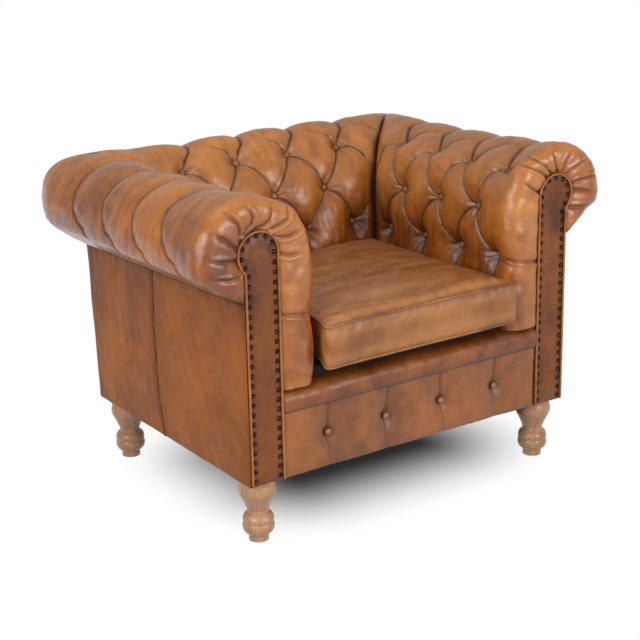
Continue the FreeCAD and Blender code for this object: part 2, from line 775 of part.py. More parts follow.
def make_frame():
    front_leg, rear_leg = LEG_YS["front"], LEG_YS["rear"]
    post_low = (POST_INNER, POST_FRONT, BODY_BOTTOM)
    post_high = (POST_OUTER, FRONT_POST_BACK, TOP_RAIL_BOTTOM)
    front_post = box(post_low, post_high).cut(insert_hole(front_leg))
    pair("front_posts", front_post)
    rear_low = (POST_INNER, REAR_POST_FRONT, BODY_BOTTOM)
    rear_high = (POST_OUTER, POST_BACK, TOP_RAIL_BOTTOM)
    pair("rear_posts", box(rear_low, rear_high).cut(insert_hole(rear_leg)))

    rail_back = POST_FRONT + RAIL_THICKNESS
    front_rail_low = (-POST_INNER, POST_FRONT, BODY_BOTTOM)
    nodes["front_rail"] = box(front_rail_low, (POST_INNER, rail_back, RAIL_TOP))
    rear_front = POST_BACK - RAIL_THICKNESS
    rear_rail_low = (-POST_INNER, rear_front, BODY_BOTTOM)
    nodes["rear_rail"] = box(rear_rail_low, (POST_INNER, POST_BACK, RAIL_TOP))
    side_inner = POST_OUTER - RAIL_THICKNESS
    side_low = (side_inner, FRONT_POST_BACK, BODY_BOTTOM)
    pair("side_rails", box(side_low, (POST_OUTER, REAR_POST_FRONT, RAIL_TOP)))

    top = TOP_RAIL_BOTTOM + TOP_RAIL_HEIGHT
    arm_end = POST_BACK - FIT - FIT
    arm_low = (TOP_RAIL_INNER, BOARD_BACK, TOP_RAIL_BOTTOM)
    pair("arm_top_rails", box(arm_low, (TOP_RAIL_OUTER, arm_end, top)))
    back_low = (-TOP_RAIL_INNER, arm_end - TOP_RAIL_WIDTH, TOP_RAIL_BOTTOM)
    nodes["back_top_rail"] = box(back_low, (TOP_RAIL_INNER, arm_end, top))

    slat_top = SLAT_BOTTOM + SLAT_HEIGHT
    slat_inner = POST_INNER - SLAT_THICKNESS
    arm_slat_low = (slat_inner, POST_FRONT + RAIL_THICKNESS, SLAT_BOTTOM)
    pair("arm_slats", box(arm_slat_low, (POST_INNER, REAR_POST_FRONT, slat_top)))
    slat_front = REAR_POST_FRONT
    slat_back = slat_front + SLAT_THICKNESS
    back_slat_low = (-POST_INNER, slat_front, SLAT_BOTTOM)
    nodes["back_slat"] = box(back_slat_low, (POST_INNER, slat_back, slat_top))

    uprights = []
    for side in (-1, 1):
        x = side * UPRIGHT_SPACING / 2
        low = (x - UPRIGHT_WIDTH / 2, slat_front, slat_top)
        uprights.append(box(low, (x + UPRIGHT_WIDTH / 2, slat_back, TOP_RAIL_BOTTOM)))
    nodes["back_uprights"] = group(uprights)
    make_linings(slat_inner, slat_front)
    make_scroll_boards()
    make_blocks_and_screws()


def make_linings(slat_inner, slat_front):
    """Tightly stretched hessian that the foam is laid on."""
    end = slat_front - HESSIAN - FIT
    arm_low = (slat_inner - HESSIAN + FIT, POST_FRONT + RAIL_THICKNESS, SLAT_BOTTOM)
    pair("arm_linings", box(arm_low, (slat_inner, end, HESSIAN_TOP)))
    back_low = (-slat_inner, slat_front - HESSIAN + FIT, SLAT_BOTTOM)
    nodes["back_lining"] = box(back_low, (slat_inner, slat_front, HESSIAN_TOP))


def make_scroll_boards():
    """Round boards on the front posts that shape the fronts of the rolls."""
    round_board = cylinder(
        SCROLL_BOARD_RADIUS,
        SCROLL_BOARD_THICKNESS,
        (ARM_AXIS, BOARD_BACK, ROLL_CENTRE_HEIGHT),
        Vector(0, -1, 0),
    )
    reach = SCROLL_BOARD_RADIUS + OVERRUN
    low = (ARM_AXIS - reach, BOARD_FRONT - OVERRUN, TOP_RAIL_BOTTOM)
    high = (ARM_AXIS + reach, BOARD_BACK + OVERRUN, ROLL_CENTRE_HEIGHT + reach)
    pair("scroll_boards", round_board.common(box(low, high)))


def make_blocks_and_screws():
    """Glued corner blocks, each held by a screw into its rail."""
    blocks, screws = [], []
    rails = ((POST_FRONT + RAIL_THICKNESS, 1), (POST_BACK - RAIL_THICKNESS, -1))
    for face, way in rails:
        for side in (-1, 1):
            corner = Vector(side * POST_INNER, face, BODY_BOTTOM)
            depth = FRONT_POST_BACK - POST_FRONT - RAIL_THICKNESS
            points = [
                corner,
                corner + Vector(-side * BLOCK_LENGTH, 0, 0),
                corner + Vector(0, way * depth, 0),
            ]
            block = prism(points, Vector(0, 0, BLOCK_HEIGHT))
            place = corner + Vector(-side * BLOCK_LENGTH / 3, way * depth / 3, BLOCK_HEIGHT / 2)
            heading = Vector(0, -way, 0)
            shank = Part.makeCylinder(SCREW_DIAMETER / 2, SCREW_LENGTH, place, heading)
            head = Part.makeCylinder(
                SCREW_HEAD_DIAMETER / 2, SCREW_HEAD_HEIGHT, place - heading * SCREW_HEAD_HEIGHT, heading
            )
            screws.append(shank.fuse(head))
            sink = Part.makeCylinder(
                SCREW_HEAD_DIAMETER / 2, BLOCK_LENGTH, place - heading * BLOCK_LENGTH, heading
            )
            blocks.append(block.cut(shank).cut(sink))
            rail = "front_rail" if way > 0 else "rear_rail"
            nodes[rail] = nodes[rail].cut(shank)
    nodes["corner_blocks"] = group(blocks)
    nodes["corner_screws"] = group(screws)


# Seat springs and platform

def spring_ends():
    """Where a spring's end bars lie: just inside the front and rear rails' inner edges."""
    front = POST_FRONT + LIP_DEPTH + FIT + CLIP_LENGTH / 2
    back = POST_BACK - RAIL_THICKNESS + FIT + CLIP_LENGTH / 2
    return front, back


def sinuous_spring(x):
    """A flat zigzag spring from the front rail to the rear rail: straight bars and half loops."""
    start, end = spring_ends()
    count = int((end - start) / SPRING_LOOP_PITCH)
    step = (end - start) / count
    half = (SPRING_LOOP_WIDTH - step) / 2
    z = RAIL_TOP + SPRING_RISE
    edges = []
    for k in range(count + 1):
        y = start + k * step
        side = 1 if k % 2 == 0 else -1
        low = Vector(x - side * half, y, z)
        high = Vector(x + side * half, y, z)
        edges.append(Part.makeLine(low, high))
        if k < count:
            tip = Vector(x + side * (half + step / 2), y + step / 2, z)
            edges.append(Part.Arc(high, tip, high + Vector(0, step, 0)).toShape())
    return rope(edges, SPRING_WIRE / 2)


def clip_top():
    return RAIL_TOP + SPRING_RISE + SPRING_WIRE / 2 + FIT + CLIP_WALL


def spring_clip(x, y):
    """A folded steel clip that holds a spring's end bar to the top of a rail."""
    hole = SPRING_WIRE / 2 + FIT
    half, deep = CLIP_WIDTH / 2, CLIP_LENGTH / 2
    block = box((x - half, y - deep, RAIL_TOP), (x + half, y + deep, clip_top()))
    start = (x - CLIP_WIDTH, y, RAIL_TOP + SPRING_RISE)
    return block.cut(cylinder(hole, CLIP_WIDTH + CLIP_WIDTH, start, Vector(1, 0, 0)))


def make_seat():
    xs = [SPRING_PITCH * (k - (SPRING_COUNT - 1) / 2) for k in range(SPRING_COUNT)]
    nodes["seat_springs"] = group([sinuous_spring(x) for x in xs])
    nodes["spring_clips"] = group([spring_clip(x, y) for x in xs for y in spring_ends()])
    half = POST_INNER - SLAT_THICKNESS - HESSIAN - FIT
    front = POST_FRONT + LIP_DEPTH + FIT
    back = REAR_POST_FRONT - HESSIAN
    nodes["seat_base_pad"] = box((-half, front, clip_top() + FIT), (half, back, SEAT_BOARD_TOP))
    nodes["seat_platform"] = seat_platform()
    nodes["dust_cover"] = dust_cover()


def seat_platform():
    """The covered platform under the cushion, rolled over at its front."""
    half = SEAT_HALF_WIDTH - FIT
    low = SEAT_BOARD_TOP + FIT
    back = BACK_AXIS - ROLL_REACH_IN - FIT

    def at(y, z):
        return Vector(-half, y, z)

    turn_share = 0.3
    rounded = PLATFORM_ROUND * turn_share
    top = PLATFORM_PAD_TOP
    edges = [
        Part.Arc(
            at(PLATFORM_FRONT, top - PLATFORM_ROUND),
            at(PLATFORM_FRONT + rounded, top - rounded),
            at(PLATFORM_FRONT + PLATFORM_ROUND, top),
        ).toShape()
    ]
    corners = [at(PLATFORM_FRONT + PLATFORM_ROUND, top), at(back, top), at(back, low)]
    corners += [at(PLATFORM_FRONT, low), at(PLATFORM_FRONT, top - PLATFORM_ROUND)]
    return Part.Face(Part.Wire(edges + line_edges(corners))).extrude(Vector(half + half, 0, 0))


def dust_cover():
    """Black cloth under the frame, cut away round the legs."""
    low = BODY_BOTTOM - DUST_COVER
    half = POST_OUTER - DUST_COVER_INSET
    front, back = POST_FRONT + DUST_COVER_INSET, POST_BACK - DUST_COVER_INSET
    sheet = box((-half, front, low), (half, back, BODY_BOTTOM))
    for y in LEG_YS.values():
        for side in (-1, 1):
            foot = (side * LEG_X, y, low - OVERRUN / 2)
            sheet = sheet.cut(cylinder(LEG_TOP_RADIUS + OVERRUN, DUST_COVER + OVERRUN, foot))
    return sheet


# Cushion

def cushion_outline(inset, z):
    """The cushion's outline: its sides and front draw in between the rounded corners, as arcs that
    run on smoothly, and its rear edge is straight."""
    front, back = CUSHION_FRONT, CUSHION_BACK
    radius = CUSHION_CORNER_RADIUS - inset
    w = CUSHION_HALF_WIDTH - CUSHION_CORNER_RADIUS
    d = (back - front) / 2 - CUSHION_CORNER_RADIUS
    middle = (back + front) / 2

    def lean(half):
        return math.asin(2 * half * CUSHION_DRAW_IN / (half**2 + CUSHION_DRAW_IN**2))

    def arc(*points):
        return Part.Arc(*points).toShape()

    def corner(sx, sy, side_angle, end_angle):
        """A rounded corner's points, from the side of the cushion round to its front or rear."""
        centre = Vector(sx * w, middle + sy * d, z)
        angles = (side_angle, (side_angle + math.pi / 2 + end_angle) / 2, math.pi / 2 + end_angle)
        return [
            centre + Vector(sx * math.cos(angle), sy * math.sin(angle), 0) * radius for angle in angles
        ]

    side, fore = lean(d), lean(w)
    right_rear = corner(1, 1, -side, 0.0)
    left_rear = corner(-1, 1, -side, 0.0)
    left_front = corner(-1, -1, -side, fore)
    right_front = corner(1, -1, -side, fore)
    draw = CUSHION_CORNER_RADIUS - CUSHION_DRAW_IN - inset
    return [
        arc(*right_rear),
        Part.makeLine(right_rear[2], left_rear[2]),
        arc(*left_rear[::-1]),
        arc(left_rear[0], Vector(-w - draw, middle, z), left_front[0]),
        arc(*left_front),
        arc(left_front[2], Vector(0, middle - d - draw, z), right_front[2]),
        arc(*right_front[::-1]),
        arc(right_front[0], Vector(w + draw, middle, z), right_rear[0]),
    ]


def cushion_prism(inset, low, high):
    return Part.Face(Part.Wire(cushion_outline(inset, low))).extrude(Vector(0, 0, high - low))


CROWN_SHARES = (
    (-0.02, 0.0),
    (0.08, 0.42),
    (0.22, 0.8),
    (0.5, 1.0),
    (0.78, 0.8),
    (0.92, 0.42),
    (1.02, 0.0),
)


def crowned_block(low_level, low_crown, high_level, high_crown):
    """A block whose bottom and top swell towards its middle: arcs across, in steps along."""
    half = CUSHION_HALF_WIDTH + OVERRUN
    length = CUSHION_BACK - CUSHION_FRONT
    wires = []
    for share, swell in CROWN_SHARES:
        y = CUSHION_FRONT + share * length
        low, high = Vector(0, y, low_level), Vector(0, y, high_level)
        top = high + Vector(0, 0, high_crown * swell + FIT)
        bottom = low - Vector(0, 0, low_crown * swell + FIT)
        left, right = Vector(-half, 0, 0), Vector(half, 0, 0)
        edges = [
            Part.Arc(high + left, top, high + right).toShape(),
            Part.makeLine(high + right, low + right),
            Part.Arc(low + right, bottom, low + left).toShape(),
            Part.makeLine(low + left, high + left),
        ]
        wires.append(Part.Wire(edges))
    return Part.makeLoft(wires, True, True, False)


def crowned_panel(level, crown, thickness, up):
    """A leather panel of even thickness with the crown of the foam under it."""
    half = CUSHION_HALF_WIDTH + OVERRUN
    length = CUSHION_BACK - CUSHION_FRONT
    wires = []
    for share, swell in CROWN_SHARES:
        y = CUSHION_FRONT + share * length
        rise = up * (crown * swell + FIT)
        near, far = level, level + up * thickness
        left, right = Vector(-half, y, 0), Vector(half, y, 0)
        middle = Vector(0, y, 0)

        def at(side, z):
            return side + Vector(0, 0, z)

        edges = [Part.Arc(at(left, far), at(middle, far + rise), at(right, far)).toShape()]
        edges.append(Part.makeLine(at(right, far), at(right, near)))
        edges.append(Part.Arc(at(right, near), at(middle, near + rise), at(left, near)).toShape())
        edges.append(Part.makeLine(at(left, near), at(left, far)))
        wires.append(Part.Wire(edges))
    return Part.makeLoft(wires, True, True, False)


def make_cushion():
    low = CUSHION_BOTTOM_SEAM
    high = CUSHION_TOP_SEAM
    tall = cushion_prism(LEATHER + FIT, low - CUSHION_CROWN, high + CUSHION_CROWN * 2)
    core = crowned_block(low, CUSHION_SAG, high - LEATHER, CUSHION_CROWN)
    nodes["cushion_core"] = core.common(tall)
    outline = cushion_prism(0.0, low - CUSHION_CROWN, high + CUSHION_CROWN * 2)
    top = crowned_panel(high - LEATHER + FIT, CUSHION_CROWN, LEATHER - FIT, 1)
    nodes["cushion_top_panel"] = top.common(outline)
    bottom = crowned_panel(low - FIT, CUSHION_SAG, LEATHER - FIT, -1)
    nodes["cushion_bottom_panel"] = bottom.common(outline)
    band_low, band_high = low, high - LEATHER
    band = cushion_prism(0.0, band_low, band_high).cut(cushion_prism(LEATHER, band_low, band_high))
    half = GUSSET_LENGTH / 2
    reach = CUSHION_BACK - CUSHION_CORNER_RADIUS
    slot = box((-half, reach, band_low), (half, CUSHION_BACK + OVERRUN, band_high))
    nodes["cushion_boxing"] = band.cut(slot)
    inner = box((-half + FIT, reach, band_low), (half - FIT, CUSHION_BACK + OVERRUN, band_high))
    nodes["cushion_zip_gusset"] = band.common(inner)
    for name, z in (("top", high), ("bottom", low)):
        welt = cushion_outline(-CUSHION_PIPING_RADIUS - FIT, z)
        nodes["cushion_piping_" + name] = rope(welt, CUSHION_PIPING_RADIUS)
    make_zip((low + high) / 2, half)


def make_zip(z, half):
    """A zip across the middle of the rear gusset: its chain, and a slider that runs along it."""
    back = CUSHION_BACK
    half_chain = ZIP_CHAIN_HEIGHT / 2
    stop = half - ZIP_END_MARGIN
    chain_low = (-stop, back, z - half_chain)
    nodes["zip_chain"] = box(chain_low, (stop, back + ZIP_CHAIN_DEPTH, z + half_chain))
    front = back + FIT
    face = back + ZIP_CHAIN_DEPTH + FIT
    end = face + ZIP_SLIDER_WALL
    inside = half_chain + FIT
    outside = inside + ZIP_SLIDER_WALL
    start = -stop
    tip = start + ZIP_SLIDER_LENGTH
    body = box((start, front, z - outside), (tip, end, z + outside))
    slot = box((start - OVERRUN, front - OVERRUN, z - inside), (tip + OVERRUN, face, z + inside))
    middle = (start + tip) / 2
    pull_low = (middle - ZIP_PULL_WIDTH / 2, end, z + inside - ZIP_PULL_LENGTH)
    pull_high = (middle + ZIP_PULL_WIDTH / 2, end + ZIP_PULL_THICKNESS, z + inside)
    nodes["zip_slider"] = body.cut(slot).fuse(box(pull_low, pull_high))


# Legs

def leg_profile():
    """Half of a turned leg, from the glide up: foot, double bulb, neck, round shoulder and collar."""
    top = BODY_BOTTOM
    foot = LEG_FOOT_RADIUS

    def at(radius, z):
        return Vector(radius, 0, z)

    swell_share = 0.97
    low_mid = (LEG_BULB_BOTTOM + LEG_GROOVE_HEIGHT) / 2
    high_mid = (LEG_BULB_TOP + LEG_GROOVE_HEIGHT) / 2
    waist = (LEG_FOOT_RADIUS + LEG_GROOVE_RADIUS) / 2
    flare = (LEG_NECK_RADIUS + LEG_SHOULDER_RADIUS) / 2
    flare_height = (LEG_NECK_HEIGHT + LEG_SHOULDER_HEIGHT) / 2
    low = LEG_BULB_BOTTOM - GLIDE_HEIGHT
    groove = at(LEG_GROOVE_RADIUS, LEG_GROOVE_HEIGHT)
    base = [at(0, GLIDE_HEIGHT), at(foot, GLIDE_HEIGHT), at(foot, low), at(waist, LEG_BULB_BOTTOM)]
    edges = line_edges(base)
    edges.append(Part.Arc(at(waist, LEG_BULB_BOTTOM), at(LEG_BULB_RADIUS, low_mid), groove).toShape())
    edges.append(
        Part.Arc(
            groove,
            at(LEG_BULB_RADIUS * swell_share, high_mid),
            at(LEG_NECK_RADIUS, LEG_BULB_TOP),
        ).toShape()
    )
    edges += line_edges([at(LEG_NECK_RADIUS, LEG_BULB_TOP), at(LEG_NECK_RADIUS, LEG_NECK_HEIGHT)])
    edges.append(
        Part.Arc(
            at(LEG_NECK_RADIUS, LEG_NECK_HEIGHT),
            at(flare * swell_share, flare_height),
            at(LEG_SHOULDER_RADIUS, LEG_SHOULDER_HEIGHT),
        ).toShape()
    )
    collar = top - LEG_COLLAR
    edges.append(
        Part.Arc(
            at(LEG_SHOULDER_RADIUS, LEG_SHOULDER_HEIGHT),
            at(LEG_SWELL_RADIUS, (LEG_SHOULDER_HEIGHT + collar) / 2),
            at(LEG_TOP_RADIUS, collar),
        ).toShape()
    )
    edges += line_edges([at(LEG_TOP_RADIUS, collar), at(LEG_TOP_RADIUS, top), at(0, top), at(0, GLIDE_HEIGHT)])
    return Part.Wire(edges)


def insert_hole(y):
    """The hole for a leg's threaded insert in the end of a post."""
    foot = (LEG_X, y, BODY_BOTTOM)
    bolt = cylinder(BOLT_DIAMETER / 2 + THREAD_CLEARANCE, BOLT_IN_POST + FIT, foot)
    return bolt.fuse(cylinder(INSERT_DIAMETER / 2 + THREAD_CLEARANCE, INSERT_LENGTH + FIT, foot))


def make_legs():
    turned = Part.Face(leg_profile()).revolve(Vector(0, 0, 0), Vector(0, 0, 1), 360)
    thread = BOLT_DIAMETER / 2 + THREAD_CLEARANCE
    socket = cylinder(thread, BOLT_IN_LEG + FIT, (0, 0, BODY_BOTTOM - BOLT_IN_LEG - FIT))
    leg = turned.cut(socket)
    bolt_foot = (0, 0, BODY_BOTTOM - BOLT_IN_LEG)
    bolt = cylinder(BOLT_DIAMETER / 2, BOLT_IN_LEG + BOLT_IN_POST, bolt_foot)
    sleeve = cylinder(INSERT_DIAMETER / 2, INSERT_LENGTH, (0, 0, BODY_BOTTOM))
    insert = sleeve.cut(cylinder(thread, INSERT_LENGTH, (0, 0, BODY_BOTTOM)))
    glide = cylinder(GLIDE_RADIUS, GLIDE_HEIGHT, (0, 0, 0))
    bolts, inserts, glides = [], [], []
    for end, y in LEG_YS.items():
        for side, name in ((1, "right"), (-1, "left")):
            place = Vector(side * LEG_X, y, 0)
            nodes["leg_" + end + "_" + name] = leg.translated(place)
            bolts.append(bolt.translated(place))
            inserts.append(insert.translated(place))
            glides.append(glide.translated(place))
    nodes["leg_bolts"] = group(bolts)
    nodes["leg_inserts"] = group(inserts)
    nodes["leg_glides"] = group(glides)


def export():
    """Centres the chair on its bounding box and writes one file for each node."""
    os.makedirs("parts", exist_ok=True)
    whole = Part.makeCompound(list(nodes.values()))
    limits = whole.optimalBoundingBox(False, False)
    shift = Vector(-limits.Center.x, -limits.Center.y, -limits.ZMin)
    print("shift", shift, "size", limits.XLength, limits.YLength, limits.ZLength)
    for name, shape in sorted(nodes.items()):
        moved = shape.translated(shift)
        moved.exportStep("parts/" + name + ".step")
        print(name, len(moved.Solids), round(moved.Volume / 1000, 1), moved.isValid())


make_arms()
make_back()
make_outside_panels()
make_seat_front()
make_frame()
make_seat()
make_cushion()
make_legs()
export()
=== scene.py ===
# %% [markdown]
# # A club chair in deep-buttoned leather
# The chair is a timber frame with one low, stuffed roll round its arms and back, all in tan
# leather. The construction model is loaded first and stays fixed. Each leather piece is then made
# anew in the place of its plain solid, and the timber and metal pieces keep their solids and only
# get a finish.

# %% Load the construction model
import itertools
import math

import bmesh
import bpy
import numpy as np
from mathutils import Matrix, Vector
from mathutils.bvhtree import BVHTree


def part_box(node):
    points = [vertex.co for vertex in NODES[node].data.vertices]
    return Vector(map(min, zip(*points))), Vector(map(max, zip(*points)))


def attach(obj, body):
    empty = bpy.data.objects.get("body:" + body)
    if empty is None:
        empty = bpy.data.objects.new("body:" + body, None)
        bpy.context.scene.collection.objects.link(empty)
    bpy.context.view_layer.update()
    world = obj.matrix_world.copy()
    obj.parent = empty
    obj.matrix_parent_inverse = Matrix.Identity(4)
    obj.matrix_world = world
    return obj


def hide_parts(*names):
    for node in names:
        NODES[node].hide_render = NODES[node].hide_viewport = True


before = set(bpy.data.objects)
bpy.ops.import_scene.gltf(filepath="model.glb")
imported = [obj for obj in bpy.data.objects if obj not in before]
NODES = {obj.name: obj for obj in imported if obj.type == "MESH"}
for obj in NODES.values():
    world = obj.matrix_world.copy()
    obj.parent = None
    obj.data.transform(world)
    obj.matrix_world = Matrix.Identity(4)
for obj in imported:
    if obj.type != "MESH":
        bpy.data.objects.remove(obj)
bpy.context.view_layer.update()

# %% [markdown]
# ## Camera
# The photograph is taken from the front, a little from the chair's left and from above, with a
# long lens. The place comes from a fit to the seams, legs and button rows, which are the same on
# both sides of the chair.

# %% Camera
CAMERA_PLACE = Vector((-2.0059, -2.9651, 1.5045))
CAMERA_AZIMUTH, CAMERA_ELEVATION, CAMERA_ROLL = (math.radians(a) for a in (-34.13, 18.14, -1.21))
CAMERA_LENS = 88.97


def camera_axes():
    """The camera's right, up and backward directions."""
    back = Vector((
        math.sin(CAMERA_AZIMUTH) * math.cos(CAMERA_ELEVATION),
        -math.cos(CAMERA_AZIMUTH) * math.cos(CAMERA_ELEVATION),
        math.sin(CAMERA_ELEVATION),
    ))
    right = (-back).cross(Vector((0, 0, 1))).normalized()
    up = right.cross(-back)
    turn, lean = math.cos(CAMERA_ROLL), math.sin(CAMERA_ROLL)
    return right * turn + up * lean, up * turn - right * lean, back


camera_data = bpy.data.cameras.new("camera")
camera_data.lens = CAMERA_LENS
camera_data.sensor_width = 36
camera = bpy.data.objects.new("camera", camera_data)
axes = Matrix(camera_axes()).transposed()
camera.matrix_world = Matrix.Translation(CAMERA_PLACE) @ axes.to_4x4()
bpy.context.scene.collection.objects.link(camera)
bpy.context.scene.camera = camera
print("camera looks along", tuple(round(v, 3) for v in -axes.col[2]))

# %% [markdown]
# ## Shader maths as formulas
# A finish is a small network of nodes. Wired by hand it takes a page, so a tiny class stands for
# "the value that flows out of this socket". Its operators add the Math nodes, and one method adds
# any other node: its settings first, then the values or links of its sockets.

# %% A wire, the value that flows out of a socket
class Wire:
    """A value inside a material. Sums and products of wires add the nodes that work them out."""

    def __init__(self, tree, socket=None):
        self.tree = tree
        self.socket = socket

    def node(self, kind, settings=None, sockets=None, out=0):
        made = self.tree.nodes.new("ShaderNode" + kind)
        for name, value in (settings or {}).items():
            setattr(made, name, value)
        for name, value in (sockets or {}).items():
            entry = found(made.inputs, name)
            if isinstance(value, Wire):
                self.tree.links.new(value.socket, entry)
            else:
                entry.default_value = value
        return Wire(self.tree, found(made.outputs, out))

    def maths(self, operation, *values):
        return self.node("Math", {"operation": operation}, dict(enumerate(values)))

    def __add__(self, other):
        return self.maths("ADD", self, other)

    def __sub__(self, other):
        return self.maths("SUBTRACT", self, other)

    def __rsub__(self, other):
        return self.maths("SUBTRACT", other, self)

    def __mul__(self, other):
        return self.maths("MULTIPLY", self, other)

    __radd__ = __add__
    __rmul__ = __mul__

    def between(self, low, high):
        """0 below low, 1 above high and smooth in between. high may be the lower one."""
        settings = {"interpolation_type": "SMOOTHSTEP"}
        sockets = {"Value": self, "From Min": low, "From Max": high}
        return self.node("MapRange", settings, sockets)

    def noise(self, place, scale, detail, rough, warp=0.0):
        sockets = {"Vector": place, "Scale": scale, "Detail": detail}
        return self.node("TexNoise", {}, {**sockets, "Roughness": rough, "Distortion": warp}, "Fac")

    def stretched(self, place, by):
        """The place with each axis multiplied: a pattern is short where the number is large."""
        return self.node("VectorMath", {"operation": "MULTIPLY"}, {0: place, 1: by})

    def mark(self, name):
        """The number that each point of the mesh holds under a name."""
        return self.node("Attribute", {"attribute_name": name}, {}, "Fac")

    def tint(self, factor, first, second):
        settings = {"data_type": "RGBA", "blend_type": "MIX", "clamp_factor": True}
        sockets = {"Factor_Float": factor, "A_Color": first, "B_Color": second}
        return self.node("Mix", settings, sockets, "Result_Color")

    def bump(self, height, depth, strength, below=None):
        sockets = {"Height": height, "Distance": depth, "Strength": strength}
        if below:
            sockets["Normal"] = below
        return self.node("Bump", {}, sockets)


def found(sockets, name):
    """A socket by its number or its identifier."""
    if isinstance(name, int):
        return sockets[name]
    return next(s for s in sockets if s.identifier == name)


print("a wire can make:", [name for name in vars(Wire) if not name.startswith("_")])

# %% [markdown]
# ## Colours and new finishes
# Colours are written as a screen shows them, but a shader works with amounts of light, so one
# formula turns the first into the second. Each finish starts as the standard shader. What is the
# same all over a piece is set at once, and what changes over it is linked at the end.

# %% Colours and new finishes
def paint(red, green, blue):
    """A colour as a screen shows it, 0 to 255, turned into the light values that a shader needs."""
    shares = [v / 255 for v in (red, green, blue)]
    light = [s / 12.92 if s < 0.04045 else ((s + 0.055) / 1.055) ** 2.4 for s in shares]
    return (*light, 1.0)


def new_finish(name, **constant):
    """A material, a wire to start its formulas from, and the place on the object that it sees."""
    material = bpy.data.materials.new(name)
    material.use_nodes = True
    tree = material.node_tree
    shader = tree.nodes["Principled BSDF"]
    for key, value in constant.items():
        title = key.replace("_", " ").title().replace("Ior", "IOR")
        found(shader.inputs, title).default_value = value
    start = Wire(tree)
    return material, start, start.node("TexCoord", out="Object")


def wear(material, **changing):
    """Links what changes over the surface to the shader's sockets."""
    tree = material.node_tree
    for key, wire in changing.items():
        socket = found(tree.nodes["Principled BSDF"].inputs, key.replace("_", " ").title())
        tree.links.new(wire.socket, socket)
    return material


print("a screen's middle grey gives", round(paint(128, 128, 128)[0], 3), "of the light of white")

# %% [markdown]
# ## The tan leather
# The hide is dyed by hand: it has darker and lighter clouds and faint strokes in the direction in
# which the dye was wiped. Every fold and hollow gets painted shade, and the pillows and the lips
# beside the folds get a painted highlight over their rubbing. The folds are known from the mesh,
# where each point holds a number "crease". A fine pebbled grain breaks the gloss.

# %% Leather finish
# The colour of the painted shade in folds, how much lighter the painted highlight on rubbed pillows
# is, and how dark the painted shade in hollows is.
FOLD_SHADE, RUB_HIGHLIGHT_LIGHTER, HOLLOW_SHADE = (44, 21, 9), 34, 0.6


def leather(name, tones, stroke, gloss=0.28, shine=0.46):
    """Aniline leather in three tones. stroke says along which axes the wiped streaks are short."""
    dark, middle, light = tones
    material, start, place = new_finish(
        name, specular_ior_level=shine, coat_weight=shine * 0.3, coat_roughness=0.2)
    clouds = start.noise(place, 4.2, 3, 0.5, 0.3)
    spots = start.noise(place, 26, 3, 0.55)
    streaks = start.noise(start.stretched(place, stroke), 1.0, 4, 0.62, 0.6)
    tone = clouds * 0.38 + streaks * 0.42 + spots * 0.2
    color = start.tint(tone.between(0.38, 0.54), paint(*dark), paint(*middle))
    color = start.tint(tone.between(0.48, 0.66), color, paint(*light))
    # Painted shade in the hollows.
    painted_hollow_shade = paint(*(c * HOLLOW_SHADE for c in dark))
    color = start.tint(start.mark("hollow") * (0.55 + 0.45 * spots), color, painted_hollow_shade)
    # Painted shade along the folds.
    crease = start.mark("crease")
    color = start.tint(crease, color, paint(*FOLD_SHADE))
    # Painted highlight, with some rubbing, on the pillows and on the lips beside the folds.
    rub_highlight_tone = paint(*(min(255, c + RUB_HIGHLIGHT_LIGHTER) for c in light))
    color = start.tint(start.mark("worn") * (0.35 + 0.65 * spots), color, rub_highlight_tone)
    pebbles = {"Vector": place, "Scale": 520.0}
    cells = start.node("TexVoronoi", {"feature": "DISTANCE_TO_EDGE"}, pebbles, "Distance")
    grain = cells.between(0.0, 0.22) * 0.6 + start.noise(place, 900, 2, 0.6) * 0.4
    soft_stroke = tuple(s ** 0.5 for s in stroke)
    crumple = start.noise(start.stretched(place, soft_stroke), 9, 4, 0.55, 0.5)
    rough = gloss + (clouds - 0.5) * 0.25 + (spots - 0.5) * 0.16 + crease * 0.3
    normal = start.bump(crumple, 0.005, 0.45, below=start.bump(grain, 0.00025, 0.5))
    return wear(material, base_color=color, roughness=rough, normal=normal)


ROLL_TONES = (116, 58, 16), (164, 89, 24), (194, 119, 42)
FRONT_TONES = (96, 48, 15), (142, 77, 27), (172, 98, 39)
FACING_TONES = (78, 38, 12), (116, 60, 20), (140, 78, 30)
SIDE_TONES = (142, 76, 25), (174, 97, 32), (194, 114, 44)
SEAT_TONES = (138, 80, 36), (164, 102, 50), (186, 124, 68)
WELT_TONES = (128, 72, 30), (164, 100, 46), (188, 122, 62)
hide_arm = leather("hide_arm", ROLL_TONES, (5, 40, 5), gloss=0.25, shine=0.62)
hide_back = leather("hide_back", ROLL_TONES, (40, 5, 5), gloss=0.25, shine=0.62)
hide_front = leather("hide_front", FRONT_TONES, (8, 10, 6))
hide_facing = leather("hide_facing", FACING_TONES, (12, 12, 9), shine=0.3)
hide_side = leather("hide_side", SIDE_TONES, (7, 5, 4), gloss=0.44, shine=0.16)
hide_seat = leather("hide_seat", SEAT_TONES, (3, 26, 8), gloss=0.33, shine=0.4)
hide_welt = leather("hide_welt", WELT_TONES, (12, 12, 12))
print("leather finishes:", [m.name for m in bpy.data.materials if m.name.startswith("hide")])

# %% [markdown]
# ## Wood, metal, cloth and foam
# The legs are light, turned hardwood with long grain; the frame inside is plain sawn timber. Wood
# could be a photograph laid round the piece, but rings that are squeezed along the grain need no
# picture and fit every length. The nails are bronzed, the springs and screws are steel.

